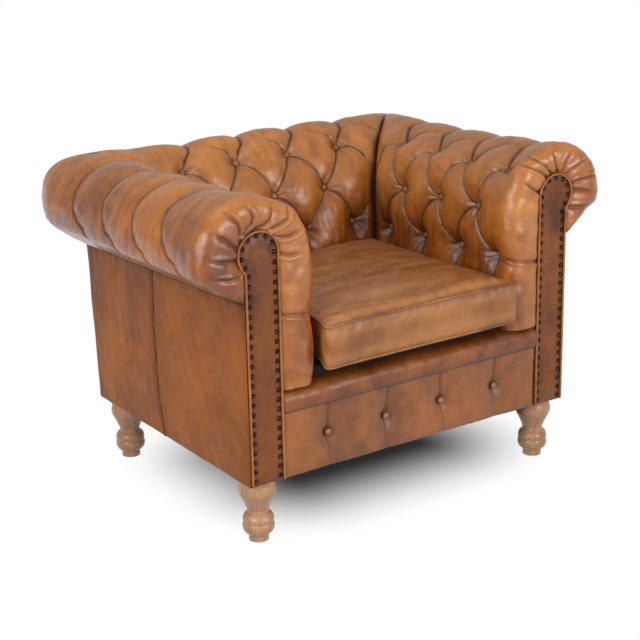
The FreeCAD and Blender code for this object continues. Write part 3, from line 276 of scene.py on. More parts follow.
# %% Wood and metal
def wood(name, dark, light, ring_scale, rough, coat):
    material, start, place = new_finish(name, coat_weight=coat, coat_roughness=0.2)
    along = start.stretched(place, (1.0, 1.0, 0.12))
    warp = start.noise(along, 16, 3, 0.5)
    knots = start.node("TexNoise", {}, {"Vector": along, "Scale": 5.0, "Detail": 2.0}, "Color")
    swirled = start.node("VectorMath", {"operation": "ADD"}, {0: along, 1: knots})
    growth = {"Vector": swirled, "Scale": ring_scale, "Distortion": 3.0, "Detail": 2.0}
    rings = start.node("TexWave", {"wave_type": "RINGS", "rings_direction": "Z"}, growth, "Fac")
    pores = start.noise(start.stretched(place, (1.0, 1.0, 0.05)), 420, 3, 0.6)
    tone = rings * 0.08 + warp * 0.47 + pores * 0.45
    color = start.tint(tone.between(0.2, 0.75), paint(*light), paint(*dark))
    return wear(material, base_color=color, roughness=rough + (pores - 0.5) * 0.2,
                normal=start.bump(pores, 0.0004, 0.3))


def metal(name, dark, light, rough):
    material, start, place = new_finish(name, metallic=1.0)
    patches = start.noise(place, 140, 4, 0.6)
    color = start.tint(patches.between(0.35, 0.65), paint(*dark), paint(*light))
    scratches = start.noise(place, 840, 2, 0.5)
    return wear(material, base_color=color, roughness=rough + (patches - 0.5) * 0.3,
                normal=start.bump(scratches, 0.0002, 0.25))


leg_wood = wood("leg_wood", (146, 94, 60), (220, 170, 124), 16.0, 0.38, 0.3)
frame_timber = wood("frame_timber", (176, 138, 96), (208, 174, 130), 14.0, 0.66, 0.0)
nail_bronze = metal("nail_bronze", (34, 24, 19), (74, 54, 42), 0.2)
bright_steel = metal("bright_steel", (120, 122, 126), (176, 178, 182), 0.34)
zip_brass = metal("zip_brass", (104, 84, 48), (164, 136, 84), 0.34)
print("wood and metal:", [m.name for m in bpy.data.materials][-5:])

# %% [markdown]
# ## Cloth, foam and nylon
# Hidden cloths keep their weave, because the part is also looked at with its pieces taken apart.
# A weave could be modelled thread by thread. Here sine waves along two axes stand for the
# threads, and one of them goes over the other in turn.

# %% Cloth and moulded finishes
def cloth(name, dark, light, pitch, axes=(0, 1)):
    """A plain weave whose threads run along two axes, pitch apart."""
    material, start, place = new_finish(name)
    split = start.node("SeparateXYZ", {}, {"Vector": place}).socket.node
    threads = [Wire(start.tree, split.outputs[a]) * (math.pi / pitch) for a in axes]
    first, second = (start.maths("ABSOLUTE", start.maths("SINE", t)) for t in threads)
    over = start.maths("PINGPONG", threads[0] * (1 / math.pi) + threads[1] * (1 / math.pi), 1.0)
    weave = start.maths("MAXIMUM", first * over, second * (1 - over))
    slub = start.noise(place, 0.25 / pitch, 3, 0.6)
    color = start.tint((weave * 0.7 + slub * 0.4).between(0.15, 0.95), paint(*dark), paint(*light))
    return wear(material, base_color=color, roughness=0.9 - 0.1 * weave,
                normal=start.bump(weave, pitch * 0.4, 0.6))


def moulded(name, dark, light, rough, scale):
    material, start, place = new_finish(name)
    patches = start.noise(place, scale, 5, 0.65)
    pits = start.node("TexVoronoi", {}, {"Vector": place, "Scale": scale * 5.0}, "Distance")
    color = start.tint(patches.between(0.3, 0.7), paint(*dark), paint(*light))
    return wear(material, base_color=color, roughness=rough + (patches - 0.5) * 0.15,
                normal=start.bump(pits, 0.0008, 0.4))


hessian = cloth("hessian", (112, 88, 58), (176, 150, 110), 0.0028, axes=(1, 2))
black_cloth = cloth("black_cloth", (18, 18, 19), (44, 44, 46), 0.0016)
# Near black, as painted shade in the gap under the cushion's front.
shadow_black_deck_cloth = cloth("shadow_black_deck_cloth", (9, 6, 4), (20, 13, 8), 0.0016)
foam = moulded("foam", (204, 190, 148), (226, 214, 176), 0.92, 60.0)
wadding = moulded("wadding", (208, 204, 194), (232, 228, 220), 0.95, 40.0)
nylon = moulded("nylon", (70, 66, 62), (96, 92, 86), 0.5, 50.0)
print(len(bpy.data.materials), "materials")

# %% [markdown]
# ## Floor and light
# The product photograph has a white floor that keeps only a soft shadow. So near the chair the
# floor is grey: it takes the chair's real shadow and adds a painted shadow round it. Further out
# it fades into plain white for the camera, while the lamps stay at a level at which the leather
# has the colour that was written. Two large lamps, to the chair's left and in front of it, give
# most of the light, and a weak one hangs overhead. Large lamps keep the highlights on the glossy
# rolls soft.

# %% Floor and light
SHADOW_CENTRE, SHADOW_CORE, SHADOW_REACH = (0.03, -0.02), (0.17, 0.09), 0.34
FLOOR_SIZE, FLOOR_PAINT, ROOM_LIGHT = 40, (106, 105, 104), 0.5


def seen_directly(start):
    """1 for the camera and for what shows in gloss and glass, 0 for the light on the object."""
    path = start.node("LightPath").socket.node.outputs
    rays = ("Is Camera Ray", "Is Glossy Ray", "Is Transmission Ray")
    camera_ray, gloss_ray, glass_ray = (Wire(start.tree, path[name]) for name in rays)
    return start.maths("MAXIMUM", start.maths("MAXIMUM", camera_ray, gloss_ray), glass_ray)


def studio_floor():
    material, start, place = new_finish("studio_floor")
    tree = material.node_tree
    centre, core = (*SHADOW_CENTRE, 0), (*SHADOW_CORE, 0)
    centred = start.node("VectorMath", {"operation": "SUBTRACT"}, {0: place, 1: centre})
    beside = start.node("VectorMath", {"operation": "ABSOLUTE"}, {0: centred})
    beyond = start.node("VectorMath", {"operation": "SUBTRACT"}, {0: beside, 1: core})
    outside = start.node("VectorMath", {"operation": "MAXIMUM"}, {0: beyond, 1: (0, 0, 0)})
    away = start.node("VectorMath", {"operation": "LENGTH"}, {0: outside}, "Value")
    # Grey near the chair, as a painted shadow round it on which its real shadow also falls.
    pale = start.node("BsdfDiffuse", {}, {"Color": paint(*FLOOR_PAINT)})
    white = start.node("Emission", {}, {"Strength": 1.0})
    fade = away.between(0.0, SHADOW_REACH) * seen_directly(start)
    mixed = start.node("MixShader", {}, {0: fade, 1: pale, 2: white})
    tree.links.new(mixed.socket, tree.nodes["Material Output"].inputs["Surface"])
    bpy.ops.mesh.primitive_plane_add(size=FLOOR_SIZE)
    floor = bpy.context.object
    floor.name = "studio_floor"
    floor.data.materials.append(material)


def white_room(strength):
    world = bpy.data.worlds.new("white_room")
    world.use_nodes = True
    tree = world.node_tree
    start = Wire(tree)
    background = tree.nodes["Background"]
    path = start.node("LightPath").socket.node.outputs["Is Camera Ray"]
    level = strength + (1 - strength) * Wire(tree, path)
    tree.links.new(level.socket, background.inputs["Strength"])
    background.inputs["Color"].default_value = (1, 1, 1, 1)
    bpy.context.scene.world = world


def soft_lamp(name, place, target, size, power, tint=(1, 1, 1)):
    data = bpy.data.lights.new(name, "AREA")
    data.shape = "DISK"
    data.size = size
    data.energy = power
    data.color = tint
    lamp = bpy.data.objects.new(name, data)
    lamp.location = place
    lamp.rotation_euler = (Vector(target) - Vector(place)).to_track_quat("-Z", "Y").to_euler()
    bpy.context.scene.collection.objects.link(lamp)


studio_floor()
white_room(ROOM_LIGHT)
soft_lamp("lamp_above", (-0.7, -0.3, 2.8), (0, 0, 0.4), 1.2, 5, (1.0, 0.985, 0.96))
soft_lamp("lamp_left", (-3.0, -1.4, 1.7), (0, 0, 0.45), 1.8, 48)
soft_lamp("lamp_front", (0.8, -3.4, 1.3), (0, 0, 0.45), 1.9, 54)
bpy.context.scene.view_settings.view_transform = "Standard"

# %% [markdown]
# ## Meshes from rows of points
# Almost every piece is a sheet: rows of points in an order, like the threads of a cloth. One
# helper joins such a grid with four-cornered faces, and a second one gives a sheet a thickness
# and closes its edges, so that each piece is a body of its own.

# %% Mesh helpers
def grid_faces(rows, columns, first=0, wrap=False):
    """Four-cornered faces between neighbouring rows and columns of a grid of points."""
    across = columns if wrap else columns - 1
    r, c = np.meshgrid(np.arange(rows - 1), np.arange(across), indexing="ij")
    right = (c + 1) % columns
    here, below = r * columns, (r + 1) * columns
    return np.stack([here + c, below + c, below + right, here + right], -1).reshape(-1, 4) + first


def grid_rim(rows, columns):
    """Faces that join the edge of one grid to the edge of a like one that follows it."""
    edge = np.r_[
        np.arange(columns), np.arange(1, rows) * columns + columns - 1,
        (rows - 1) * columns + np.arange(columns - 2, -1, -1), np.arange(rows - 2, 0, -1) * columns,
    ]
    after, count = np.roll(edge, -1), rows * columns
    return np.stack([edge, after, after + count, edge + count], -1)


def shell_faces(rows, columns):
    """The faces of a closed body between two grids."""
    sheet = grid_faces(rows, columns)
    return np.concatenate([sheet, sheet[:, ::-1] + rows * columns, grid_rim(rows, columns)])


def make_piece(name, points, faces, material, body="chair", **marks):
    """An object from an array of points and an array of four-cornered faces."""
    points = np.asarray(points, float).reshape(-1, 3)
    mesh = bpy.data.meshes.new(name)
    mesh.vertices.add(len(points))
    mesh.vertices.foreach_set("co", points.ravel())
    faces = faces.tolist() if isinstance(faces, np.ndarray) else faces
    sizes = np.array([len(f) for f in faces])
    mesh.loops.add(int(sizes.sum()))
    mesh.loops.foreach_set("vertex_index", np.concatenate([np.array(f) for f in faces]))
    mesh.polygons.add(len(faces))
    mesh.polygons.foreach_set("loop_start", np.r_[0, np.cumsum(sizes)[:-1]])
    mesh.polygons.foreach_set("use_smooth", np.full(len(faces), True))
    mesh.update(calc_edges=True)
    for mark, values in marks.items():
        layer = mesh.attributes.new(mark, "FLOAT", "POINT")
        layer.data.foreach_set("value", np.asarray(values, float).ravel())
    mesh.materials.append(material)
    piece = bpy.data.objects.new(name, mesh)
    bpy.context.scene.collection.objects.link(piece)
    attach(piece, body)
    return piece


def face_out(piece, weld=0.0):
    """Turns all faces of a closed body outwards. Points closer than weld become one before that."""
    work = bmesh.new()
    work.from_mesh(piece.data)
    if weld:
        bmesh.ops.remove_doubles(work, verts=work.verts, dist=weld)
    loose = [v for v in work.verts if not v.link_faces]
    bmesh.ops.delete(work, geom=loose, context="VERTS")
    bmesh.ops.recalc_face_normals(work, faces=work.faces)
    work.to_mesh(piece.data)
    work.free()
    return piece


def make_shell(name, outer, inner, material, **marks):
    """A closed body between two sheets with the same rows and columns."""
    points = np.concatenate([outer.reshape(-1, 3), inner.reshape(-1, 3)])
    marks = {name: np.tile(np.ravel(values), 2) for name, values in marks.items()}
    return face_out(make_piece(name, points, shell_faces(*outer.shape[:2]), material, **marks))


print("a shell of 3 by 4 points has", len(shell_faces(3, 4)), "faces")

# %% [markdown]
# ## Curves and swells
# Stuffed leather has no straight line and no even surface. So a few small formulas are used all
# over the chair: a bell that fades with the distance from a fold, a rounded rim, a smooth curve
# through given values, and a gentle ripple that stands for uneven stuffing.

# %% Curves and swells
def bell(away, width, power=2):
    """1 where away is zero, and fading to 0 within about twice the width."""
    return np.exp(-((away / width) ** power))


def rim_fall(distance, width, fall):
    """How far a surface falls back near its edge, as a quarter of a circle does."""
    share = np.clip(1 - distance / width, 0, 1)
    return fall * (1 - np.sqrt(np.clip(1 - share ** 2, 0, 1)))


def chord(points):
    """The distance travelled along a line in a plane, at each of its points."""
    return np.r_[0, np.cumsum(np.hypot(*np.diff(points[:, :2], axis=0).T))]


def unit(vectors):
    return vectors / np.maximum(np.linalg.norm(vectors, axis=-1, keepdims=True), 1e-12)


def grid_normals(points):
    """The direction that the sheet faces at each of its points."""
    down = np.gradient(points, axis=0)
    across = np.gradient(points, axis=1)
    return unit(np.cross(down, across))


def smooth_through(stops, values, at):
    """Values at any place, on a smooth curve through the given ones."""
    slope = np.gradient(values, stops)
    k = np.clip(np.searchsorted(stops, at) - 1, 0, len(stops) - 2)
    gap = stops[k + 1] - stops[k]
    share = (at - stops[k]) / gap
    cube, square = share ** 3, share ** 2
    return ((2 * cube - 3 * square + 1) * values[k] + (cube - 2 * square + share) * gap * slope[k]
            + (3 * square - 2 * cube) * values[k + 1] + (cube - square) * gap * slope[k + 1])


def ripple(x, y, size, seed):
    """A gentle, uneven swell between -1 and 1, the same on every run."""
    draws = np.random.default_rng(seed).uniform(0, 2 * math.pi, (6, 2))
    total = 0.0
    for turn, phase in draws:
        pace = 2 * math.pi / size * (0.7 + 0.1 * phase)
        total = total + np.sin(pace * (x * math.cos(turn) + y * math.sin(turn)) + phase * 3)
    return total / 3.2


def pillow_swell(s, t, seed):
    """Large and small swells of a sheet over its stuffing."""
    return 0.0009 * ripple(s, t, 0.11, seed) + 0.0004 * ripple(s, t, 0.032, seed + 1)


print("a bell at its width is", round(float(bell(1.0, 1.0)), 3))

# %% [markdown]
# ## The roll's outline
# Arms and back have one outline, given by rows: three rows of buttons up the inside, then the
# top, the outside and the seam under the roll. The arms' inside is upright and the back's leans.
# Row numbers make it easy to say where a fold runs: 0, 1 and 2 are the buttons, 3 is the top.

# %% Outline of the arms and the back
FRONT_SHIFT = -0.3771624
ARM_AXIS, BACK_AXIS, ROLL_AXIS = 0.410, 0.6595, 0.645
ROLL_OUT, ROLL_HIGH, ROLL_FALL, FAN_REACH = 0.134, 0.130, 0.05, 0.1535
FOOT, CREST = (-0.141, -0.298), (0.0, ROLL_HIGH)
ARM_ROWS = ((-0.141, -0.133), (-0.149, -0.019), (-0.114, 0.0835))
BACK_ROWS = ((-0.1455, -0.104), (-0.130, -0.003), (-0.069, 0.091))
UNDER, SEAM = (0.101, -0.051), (0.0275, -0.095)
ROW_BULGES, ROLL_BOW_SHARE = (0.006, 0.003, 0.006, 0.006), 0.12
FINE, COARSE, SEAM_FALL = 0.0025, 0.006, 0.6


def outline_places(rows):
    """Rows of (across, up, row number) from the seat over the roll to the seam under it."""
    ends, numbers = (FOOT, *rows, CREST), (-1.4, 0, 1, 2, 3)
    places = []
    for k, bulge in enumerate(ROW_BULGES):
        (a0, u0), (a1, u1) = ends[k], ends[k + 1]
        length = math.hypot(a1 - a0, u1 - u0)
        places.append((a0, u0, numbers[k]))
        across = (a0 + a1) / 2 + (u0 - u1) / length * bulge
        up = (u0 + u1) / 2 + (a1 - a0) / length * bulge
        places.append((across, up, (numbers[k] + numbers[k + 1]) / 2))
    places.append((*CREST, 3))
    for degrees, row in ((65, 3.3), (40, 3.6), (20, 3.8), (0, 4)):
        angle = math.radians(degrees)
        places.append((ROLL_OUT * math.cos(angle), ROLL_HIGH * math.sin(angle), row))
    bow = ROLL_BOW_SHARE * math.hypot(UNDER[0] - SEAM[0], UNDER[1] - SEAM[1])
    places.append(((ROLL_OUT + UNDER[0]) / 2 + bow, UNDER[1] / 2 - bow / 4, 4.3))
    places.append((*UNDER, 4.6))
    places.append(((UNDER[0] + SEAM[0]) / 2 + bow / 4, (UNDER[1] + SEAM[1]) / 2 - bow / 4, 4.8))
    places.append((*SEAM, 5))
    return np.array(places)


arm_places, back_places = outline_places(ARM_ROWS), outline_places(BACK_ROWS)
arm_chord = chord(arm_places)
hidden = np.interp(-0.3, arm_places[:, 2], arm_chord)
TRAVEL = np.r_[np.arange(0, hidden, COARSE), np.linspace(
    hidden, arm_chord[-1], int((arm_chord[-1] - hidden) / FINE))]
ROW = np.interp(TRAVEL, arm_chord, arm_places[:, 2])
FALL = np.interp(ROW, (-1.4, -0.7, 3.6, 4.3, 5), (0, 1, 1, 0.65, SEAM_FALL))


def section(places):
    """The outline at each of the sheet's columns: across, up and the outward direction."""
    stops = chord(places)
    at = np.interp(ROW, places[:, 2], stops)
    across, up = (smooth_through(stops, places[:, k], at) for k in (0, 1))
    out = unit(np.stack([-np.gradient(up), np.gradient(across)], -1))
    return np.stack([across, up, out[:, 0], out[:, 1]], -1)


ARM_SECTION, BACK_SECTION = section(arm_places), section(back_places)
MEAN_SECTION = (ARM_SECTION + BACK_SECTION) / 2
print("outline:", len(ROW), "columns,", round(arm_chord[-1], 3), "m long")

# %% [markdown]
# ## Folds and buttons
# Leather that is buttoned down in diamonds folds along lines between the buttons, and stands
# between them as a pillow. So the depth of the sheet follows from how far each point is from the
# nearest folds: it falls off steeply beside a fold and is flat in the middle of a diamond.
# Each fold is a short curve, because the upholsterer smooths the spare leather to one side.

# %% Buttons' places and the folds between them
ARM_STEP, ARM_FIRST, BACK_STEP, BACK_FIRST = 0.138, 0.0695, 0.147, -0.2205
ARM_RISES, TUFT, BUTTON_DEPTH = (0.06, 0.14, 0.28, 0.34), 0.019, 0.035


def bent(start, end, bulge):
    """A fold from its upper to its lower end, bulging towards larger distances along the roll."""
    (s0, r0), (s1, r1) = start, end
    corner = (s1, r0) if s1 > s0 else (s0, r1)
    middle = ((s0 + s1) / 2, (r0 + r1) / 2)
    control = np.array([m + bulge * (c - m) for m, c in zip(middle, corner)])
    share = np.linspace(0, 1, 9)[:, None]
    near, far = (1 - share) ** 2 * np.array(start), share ** 2 * np.array(end)
    return near + 2 * share * (1 - share) * control + far


def button_rows(first, step, rises=(0, 0, 0, 0)):
    """Places (distance along, row) of the eleven buttons. rises lifts the upper ones."""
    high = [(first + step * k, 2 + rise) for k, rise in enumerate(rises)]
    middle = [(first + step * (k + 0.5), 1) for k in range(3)]
    low = [(first + step * k, 0) for k in range(4)]
    return high, middle, low


def diamond_folds(rows, ahead, behind):
    """Folds between neighbouring buttons: points, depths, widths and darkness along each."""
    high, middle, low = rows
    folds = []
    for k in range(3):
        for upper, lower in ((high[k], middle[k]), (high[k + 1], middle[k]),
                             (middle[k], low[k]), (middle[k], low[k + 1])):
            bulge, dark = (ahead, 1.0) if lower[0] > upper[0] else (behind, 0.8)
            folds.append((bent(upper, lower, bulge), (0.018, 0.0165, 0.018),
                          (0.020, 0.019, 0.020), (dark, dark * 0.8, dark)))
    for s, _ in low:
        folds.append((np.array([(s, 0), (s + 0.003, -0.6), (s + 0.004, -1.35)]),
                      (0.015, 0.012, 0.007), (0.018, 0.016, 0.014), (1.0, 0.8, 0.4)))
    return folds


def saddle_folds(high):
    """Soft folds from each upper button but the first to the ring before it, on the roll's top."""
    folds = []
    for s, row in high[1:]:
        onto = 2.42 + (row - 2) * 0.6
        points = np.array([(s, row), (s - 0.022, onto), (s - 0.062, 2.78), (s - 0.1, 2.86)])
        folds.append((points, (0.010, 0.008, 0.006, 0.003), (0.012, 0.014, 0.018, 0.018),
                      (0.7, 0.5, 0.15, 0.0)))
    return folds


def ring_fold(button, offsets, rows):
    """The fold from an upper button over the roll to the seam outside."""
    s, start = button
    rows = np.array(rows, float)
    rows = np.where(rows < 3, start + (rows - 2) * (3 - start), rows)
    points = np.array([(s + offset, row) for offset, row in zip(offsets, rows)])
    depths = np.interp(rows, (2, 2.5, 3, 3.4, 3.8, 4.4, 5),
                       (0.018, 0.0185, 0.0185, 0.0155, 0.0085, 0.005, 0.003))
    widths = np.interp(rows, (2, 2.4, 3, 3.4, 3.8, 5), (0.020, 0.024, 0.024, 0.021, 0.014, 0.010))
    darkness = np.interp(rows, (2, 2.5, 3.3, 4.4, 5), (1.0, 0.8, 0.85, 0.9, 0.8))
    return points, depths, widths, darkness


def corner_folds(high, low, upper_end, lower_end):
    """Folds from a corner's seam to the button next to it in the upper and in the lower row."""
    rest = (0.008, 0.010, 0.012), (0.016, 0.018, 0.016), (0.9, 0.9, 0.9)
    return [(bent(high, upper_end, 0.6), *rest), (bent(lower_end, low, 0.4), *rest)]


def to_travel(row):
    return np.interp(row, ROW, TRAVEL)


def in_travel(folds):
    """The same folds with their rows turned into distances round the roll."""
    return [(np.stack([p[:, 0], to_travel(p[:, 1])], -1), *rest) for p, *rest in folds]


ARM_BUTTONS = button_rows(ARM_FIRST, ARM_STEP, ARM_RISES)
BACK_BUTTONS = button_rows(BACK_FIRST, BACK_STEP)
print("an arm has", len(diamond_folds(ARM_BUTTONS, 0.6, 0.6)), "folds from its buttons")

# %% [markdown]
# ## From folds to a surface
# Each fold pulls the sheet in, most on its line and less with distance, and where folds are near
# each other their pulls are shared. Beside its line a fold has a narrow lip, where the spare
# leather lies. Sculpting could do this by hand, but a formula can be changed and run again.

# %% Depth and darkness of folds and buttons
FOLD_LIP, FOLD_LINE, FOLD_REACH = 0.0030, 0.0024, 0.11
RIDGE_PLACE, RIDGE_WIDTH, RIDGE_RISE = 0.0050, 0.0030, 0.0025
PIT_RADIUS, PIT_WIDTH, PIT_REACH, PIT_SHARES = 0.006, 0.012, 0.034, (0.62, 0.38)
WRINKLE_PLACE, WRINKLE_WIDTH, WRINKLE_RISE = 0.020, 0.011, 0.0015


def fold_distance(s, t, points):
    """Distance to a fold, on which side of it a point lies, and how far along the fold it is."""
    lengths = chord(points)
    best = np.full(s.shape, 9.0)
    side, along = np.zeros(s.shape), np.zeros(s.shape)
    for k, ((s0, t0), (s1, t1)) in enumerate(zip(points, points[1:])):
        ds, dt, size = s1 - s0, t1 - t0, lengths[k + 1] - lengths[k]
        share = np.clip(((s - s0) * ds + (t - t0) * dt) / size ** 2, 0, 1)
        away = np.hypot(s - s0 - share * ds, t - t0 - share * dt)
        nearer = away < best
        best = np.where(nearer, away, best)
        side = np.where(nearer, np.sign((s - s0) * dt - (t - t0) * ds), side)
        along = np.where(nearer, (lengths[k] + share * size) / lengths[-1], along)
    return best, side, along


def along_fold(share, points, values):
    """A value at a share of a fold's length, from values at its points or evenly spread ones."""
    stops = np.linspace(0, 1, len(values))
    if len(values) == len(points):
        lengths = chord(points)
        stops = lengths / lengths[-1]
    return np.interp(share, stops, values)


def fold_field(s, t, folds):
    """How deep the sheet lies for its folds, and how much painted shade it gets there: below 0 on a
    fold's lip, which gets a painted highlight.
    """
    open_share = np.ones(s.shape)
    crease, lip = np.zeros(s.shape), np.zeros(s.shape)
    for points, *values in folds:
        low, high = points.min(0) - FOLD_REACH, points.max(0) + FOLD_REACH
        near = (s > low[0]) & (s < high[0]) & (t > low[1]) & (t < high[1])
        if not near.any():
            continue
        away, side, along = fold_distance(s[near], t[near], points)
        depth, width, dark = (along_fold(along, points, v) for v in values)
        open_share[near] *= 1 - depth / TUFT * np.exp(-away / width)
        crease[near] = np.maximum(crease[near], dark * bell(away, FOLD_LINE, 1.5))
        lip[near] = np.maximum(lip[near], dark * bell(away * side - RIDGE_PLACE, RIDGE_WIDTH))
    depth = TUFT * (1 - open_share) + FOLD_LIP * crease - RIDGE_RISE * lip
    return depth, np.where(crease > 0.1, crease, -lip)


def add_buttons(s, t, depth, crease, rows):
    """Draws the sheet in to each button, with short wrinkles round it."""
    for number, (at, row) in enumerate(itertools.chain(*rows)):
        up = to_travel(row)
        away = np.hypot(s - at, t - up)
        pit = PIT_SHARES[0] * bell(np.maximum(away - PIT_RADIUS, 0), PIT_WIDTH, 1.35)
        pull = pit + PIT_SHARES[1] * bell(away, PIT_REACH)
        depth = depth + (BUTTON_DEPTH - TUFT - FOLD_LIP) * pull
        angle = np.arctan2(t - up, s - at)
        ring = bell(away - WRINKLE_PLACE, WRINKLE_WIDTH)
        wrinkles = np.sin(angle * 8 + number * 1.7 + np.sin(angle * 3 + number))
        depth = depth + WRINKLE_RISE * wrinkles * ring
        # Painted shade round the rim of the button's pit.
        crease = np.maximum(crease, 0.8 * bell(np.maximum(away - 0.007, 0), 0.0045, 1.5))
    return depth, crease


fold = np.array([(0.0, 0.0), (0.1, 0.0)])
beside = fold_distance(np.array([0.05]), np.array([0.01]), fold)[0]
print("a point beside a fold is", round(float(beside[0]), 3), "m away from it")

# %% [markdown]
# ## The corners, where arms and back meet
# Both sheets run into a seam at 45 degrees in plan. Towards it each section turns a little more,
# and outside the corner the roll goes round in an arc. A bend modifier would stretch the folds
# there, so each point's place is worked out instead.

# %% Round the corner
LIFTS = {
    "left": ((0.0, 0.25, 0.5, 0.66), (-0.002, 0.0, 0.006, 0.009)),
    "right": ((0.0, 0.1, 0.3, 0.66), (-0.006, -0.009, -0.010, -0.005)),
    "back": ((-0.41, -0.32, -0.2, 0.0, 0.2, 0.41), (0.009, -0.001, -0.001, 0.001, 0.0, -0.005)),
}
LIFT_ROWS, LIFT_SHARES = (0.4, 2.2, 3.9, 4.8), (0, 1, 1, 0)


def plan(across, slope):
    """A place beside the axis after the turn: across, ahead of the corner, and travelled."""
    turn = np.arctan(slope)
    ahead = (across + FAN_REACH) * slope - FAN_REACH
    ratio = np.cos(turn) * FAN_REACH * (slope - 1) / np.maximum(across, 1e-6)
    rounded = (across > 0) & (ahead > 0) & (ratio >= -1)
    heading = turn + np.arcsin(np.clip(ratio, -1, 1))
    square = np.interp(ROW, (3, 3.3, 3.6, 3.8, 4, 4.3, 4.7, 5),
                       (1, 0.9, 0.6, 0.35, 0.12, 0.1, 0.1, 1))
    flat = np.where(rounded, across * (np.cos(heading) * (1 - square) + square), across)
    forward = np.where(rounded, across * np.sin(heading) * (1 - square) + ahead * square, ahead)
    return flat, forward, np.where(rounded, across * heading, ahead)


def sew_corner(depth, crease, away):
    """Adds the deep seam in the corner: a valley inside, that fades over the top."""
    deep = np.interp(ROW, (-1.4, 0, 1, 2, 2.6, 3, 3.4, 4),
                     (0.011, 0.015, 0.017, 0.016, 0.012, 0.008, 0.004, 0.001))
    # Painted shade in the corner seam's valley and along the seam under the roll.
    dark = np.interp(ROW, (2.6, 3.2, 3.8, 4.4), (1.0, 0.7, 0.35, 0.2))
    crease = np.maximum(crease, 0.9 * np.clip((ROW - 4.88) / 0.12, 0, 1))
    fade = 1 - bell(away, 0.012)
    depth = depth * fade + deep * np.exp(-away / 0.015)
    return depth, np.maximum(crease * fade, dark * bell(away, 0.004, 1.4))


def lift(part, along, row):
    """How much a row stands above its straight line: no two parts are stuffed alike."""
    places, rises = LIFTS[part]
    return np.interp(along, places, rises) * np.interp(row, LIFT_ROWS, LIFT_SHARES)


def corner_slopes(count):
    """How far each section has turned, 0 on the straight and 1 at the seam, as the tangent."""
    return np.linspace(0, 1, count + 1)[1:]


def lie(own, slope):
    """Sections of a sheet, mixed towards the corner's common one, and each point's place along."""
    share = slope[:, None, None]
    cut = own * (1 - share) + MEAN_SECTION * share
    travelled = plan(cut[..., 0], slope[:, None])[2]
    return cut, travelled


def sink(cut, depth, slope):
    """Across, up and ahead of the corner, after the sheet is drawn in by its depth."""
    across = cut[..., 0] - cut[..., 2] * depth
    up = cut[..., 1] - cut[..., 3] * depth
    flat, forward, _ = plan(across, slope[:, None])
    return flat, forward, up


print("a corner's sections turn over", len(corner_slopes(54)), "steps")

# %% [markdown]
# ## Arms
# An arm's cover runs from under the nailed strip on its front, over the rounded and gathered
# front of the roll, along the arm and round to the corner seam. It is one sheet. Its front part
# is laid out like the rays of a fan, from the edge of the strip's round head to the roll.

# %% Lines of the gathers
GATHER_DEPTH, GATHER_WIDTH, GATHER_LINE = 0.0052, 0.0048, 0.0020
GATHER_LIP, GATHER_LIP_PLACE, GATHER_LIP_WIDTH = 0.0026, 0.0078, 0.0045
GATHERS_LEFT = (
    ((0.3216, 0.7358), (0.3283, 0.7129), (0.3665, 0.6952)),
    ((0.363, 0.7406), (0.3697, 0.7162), (0.3897, 0.7)),
    ((0.4172, 0.7475), (0.4083, 0.7259), (0.4129, 0.7097), (0.427, 0.6951)),
    ((0.4634, 0.7398), (0.4452, 0.7184), (0.4386, 0.6937)),
    ((0.4971, 0.7036), (0.4713, 0.6892), (0.4485, 0.6688)),
    ((0.5034, 0.6509), (0.477, 0.6469), (0.4493, 0.6435)),
    ((0.5015, 0.6116), (0.475, 0.6066), (0.4423, 0.6097)),
    ((0.3011, 0.6843), (0.3275, 0.6749), (0.3514, 0.6755)),
    ((0.3025, 0.6358), (0.3287, 0.6352), (0.3525, 0.6429)),
    ((0.2816, 0.4957), (0.3, 0.503), (0.353, 0.5117)),
)
GATHERS_RIGHT = (
    ((0.3912, 0.7468), (0.3954, 0.7214), (0.405, 0.697)),
    ((0.4719, 0.7156), (0.4391, 0.7002), (0.431, 0.69)),
    ((0.5072, 0.6802), (0.4603, 0.6719), (0.447, 0.666)),
    ((0.4951, 0.6463), (0.4544, 0.6525), (0.449, 0.652)),
    ((0.3142, 0.7305), (0.3535, 0.7076), (0.372, 0.691)),
    ((0.3329, 0.75), (0.3694, 0.7177), (0.385, 0.697)),
    ((0.3091, 0.6869), (0.3419, 0.6646), (0.353, 0.66)),
    ((0.49, 0.612), (0.462, 0.61), (0.441, 0.613)),
    ((0.2622, 0.5121), (0.31, 0.507), (0.353, 0.4994)),
    ((0.44, 0.742), (0.425, 0.722), (0.419, 0.697)),
)
print("gathers:", len(GATHERS_LEFT), "on the left front,", len(GATHERS_RIGHT), "on the right one")

# %% [markdown]
# ## The rounded front of a roll
# Each ray of the fan starts under the strip's edge, runs flat, turns over the rounded edge and
# meets the arm's own section. The gathers are short folds that run along the rays.

# %% Rounded and gathered front
HEAD_X, HEAD_Z, HEAD_RADIUS = 0.399, 0.648, 0.050
STRIP_IN, STRIP_OUT = 0.349, 0.4327
FRONT_START, FRONT_EDGE, FRONT_BULGE, FRONT_STEPS = 0.030, 0.038, -0.010, 52
FRONT_EDGE_SHARE, UNDER_STRIP, OUT_FROM_STRIP = 0.6, 0.004, 0.011


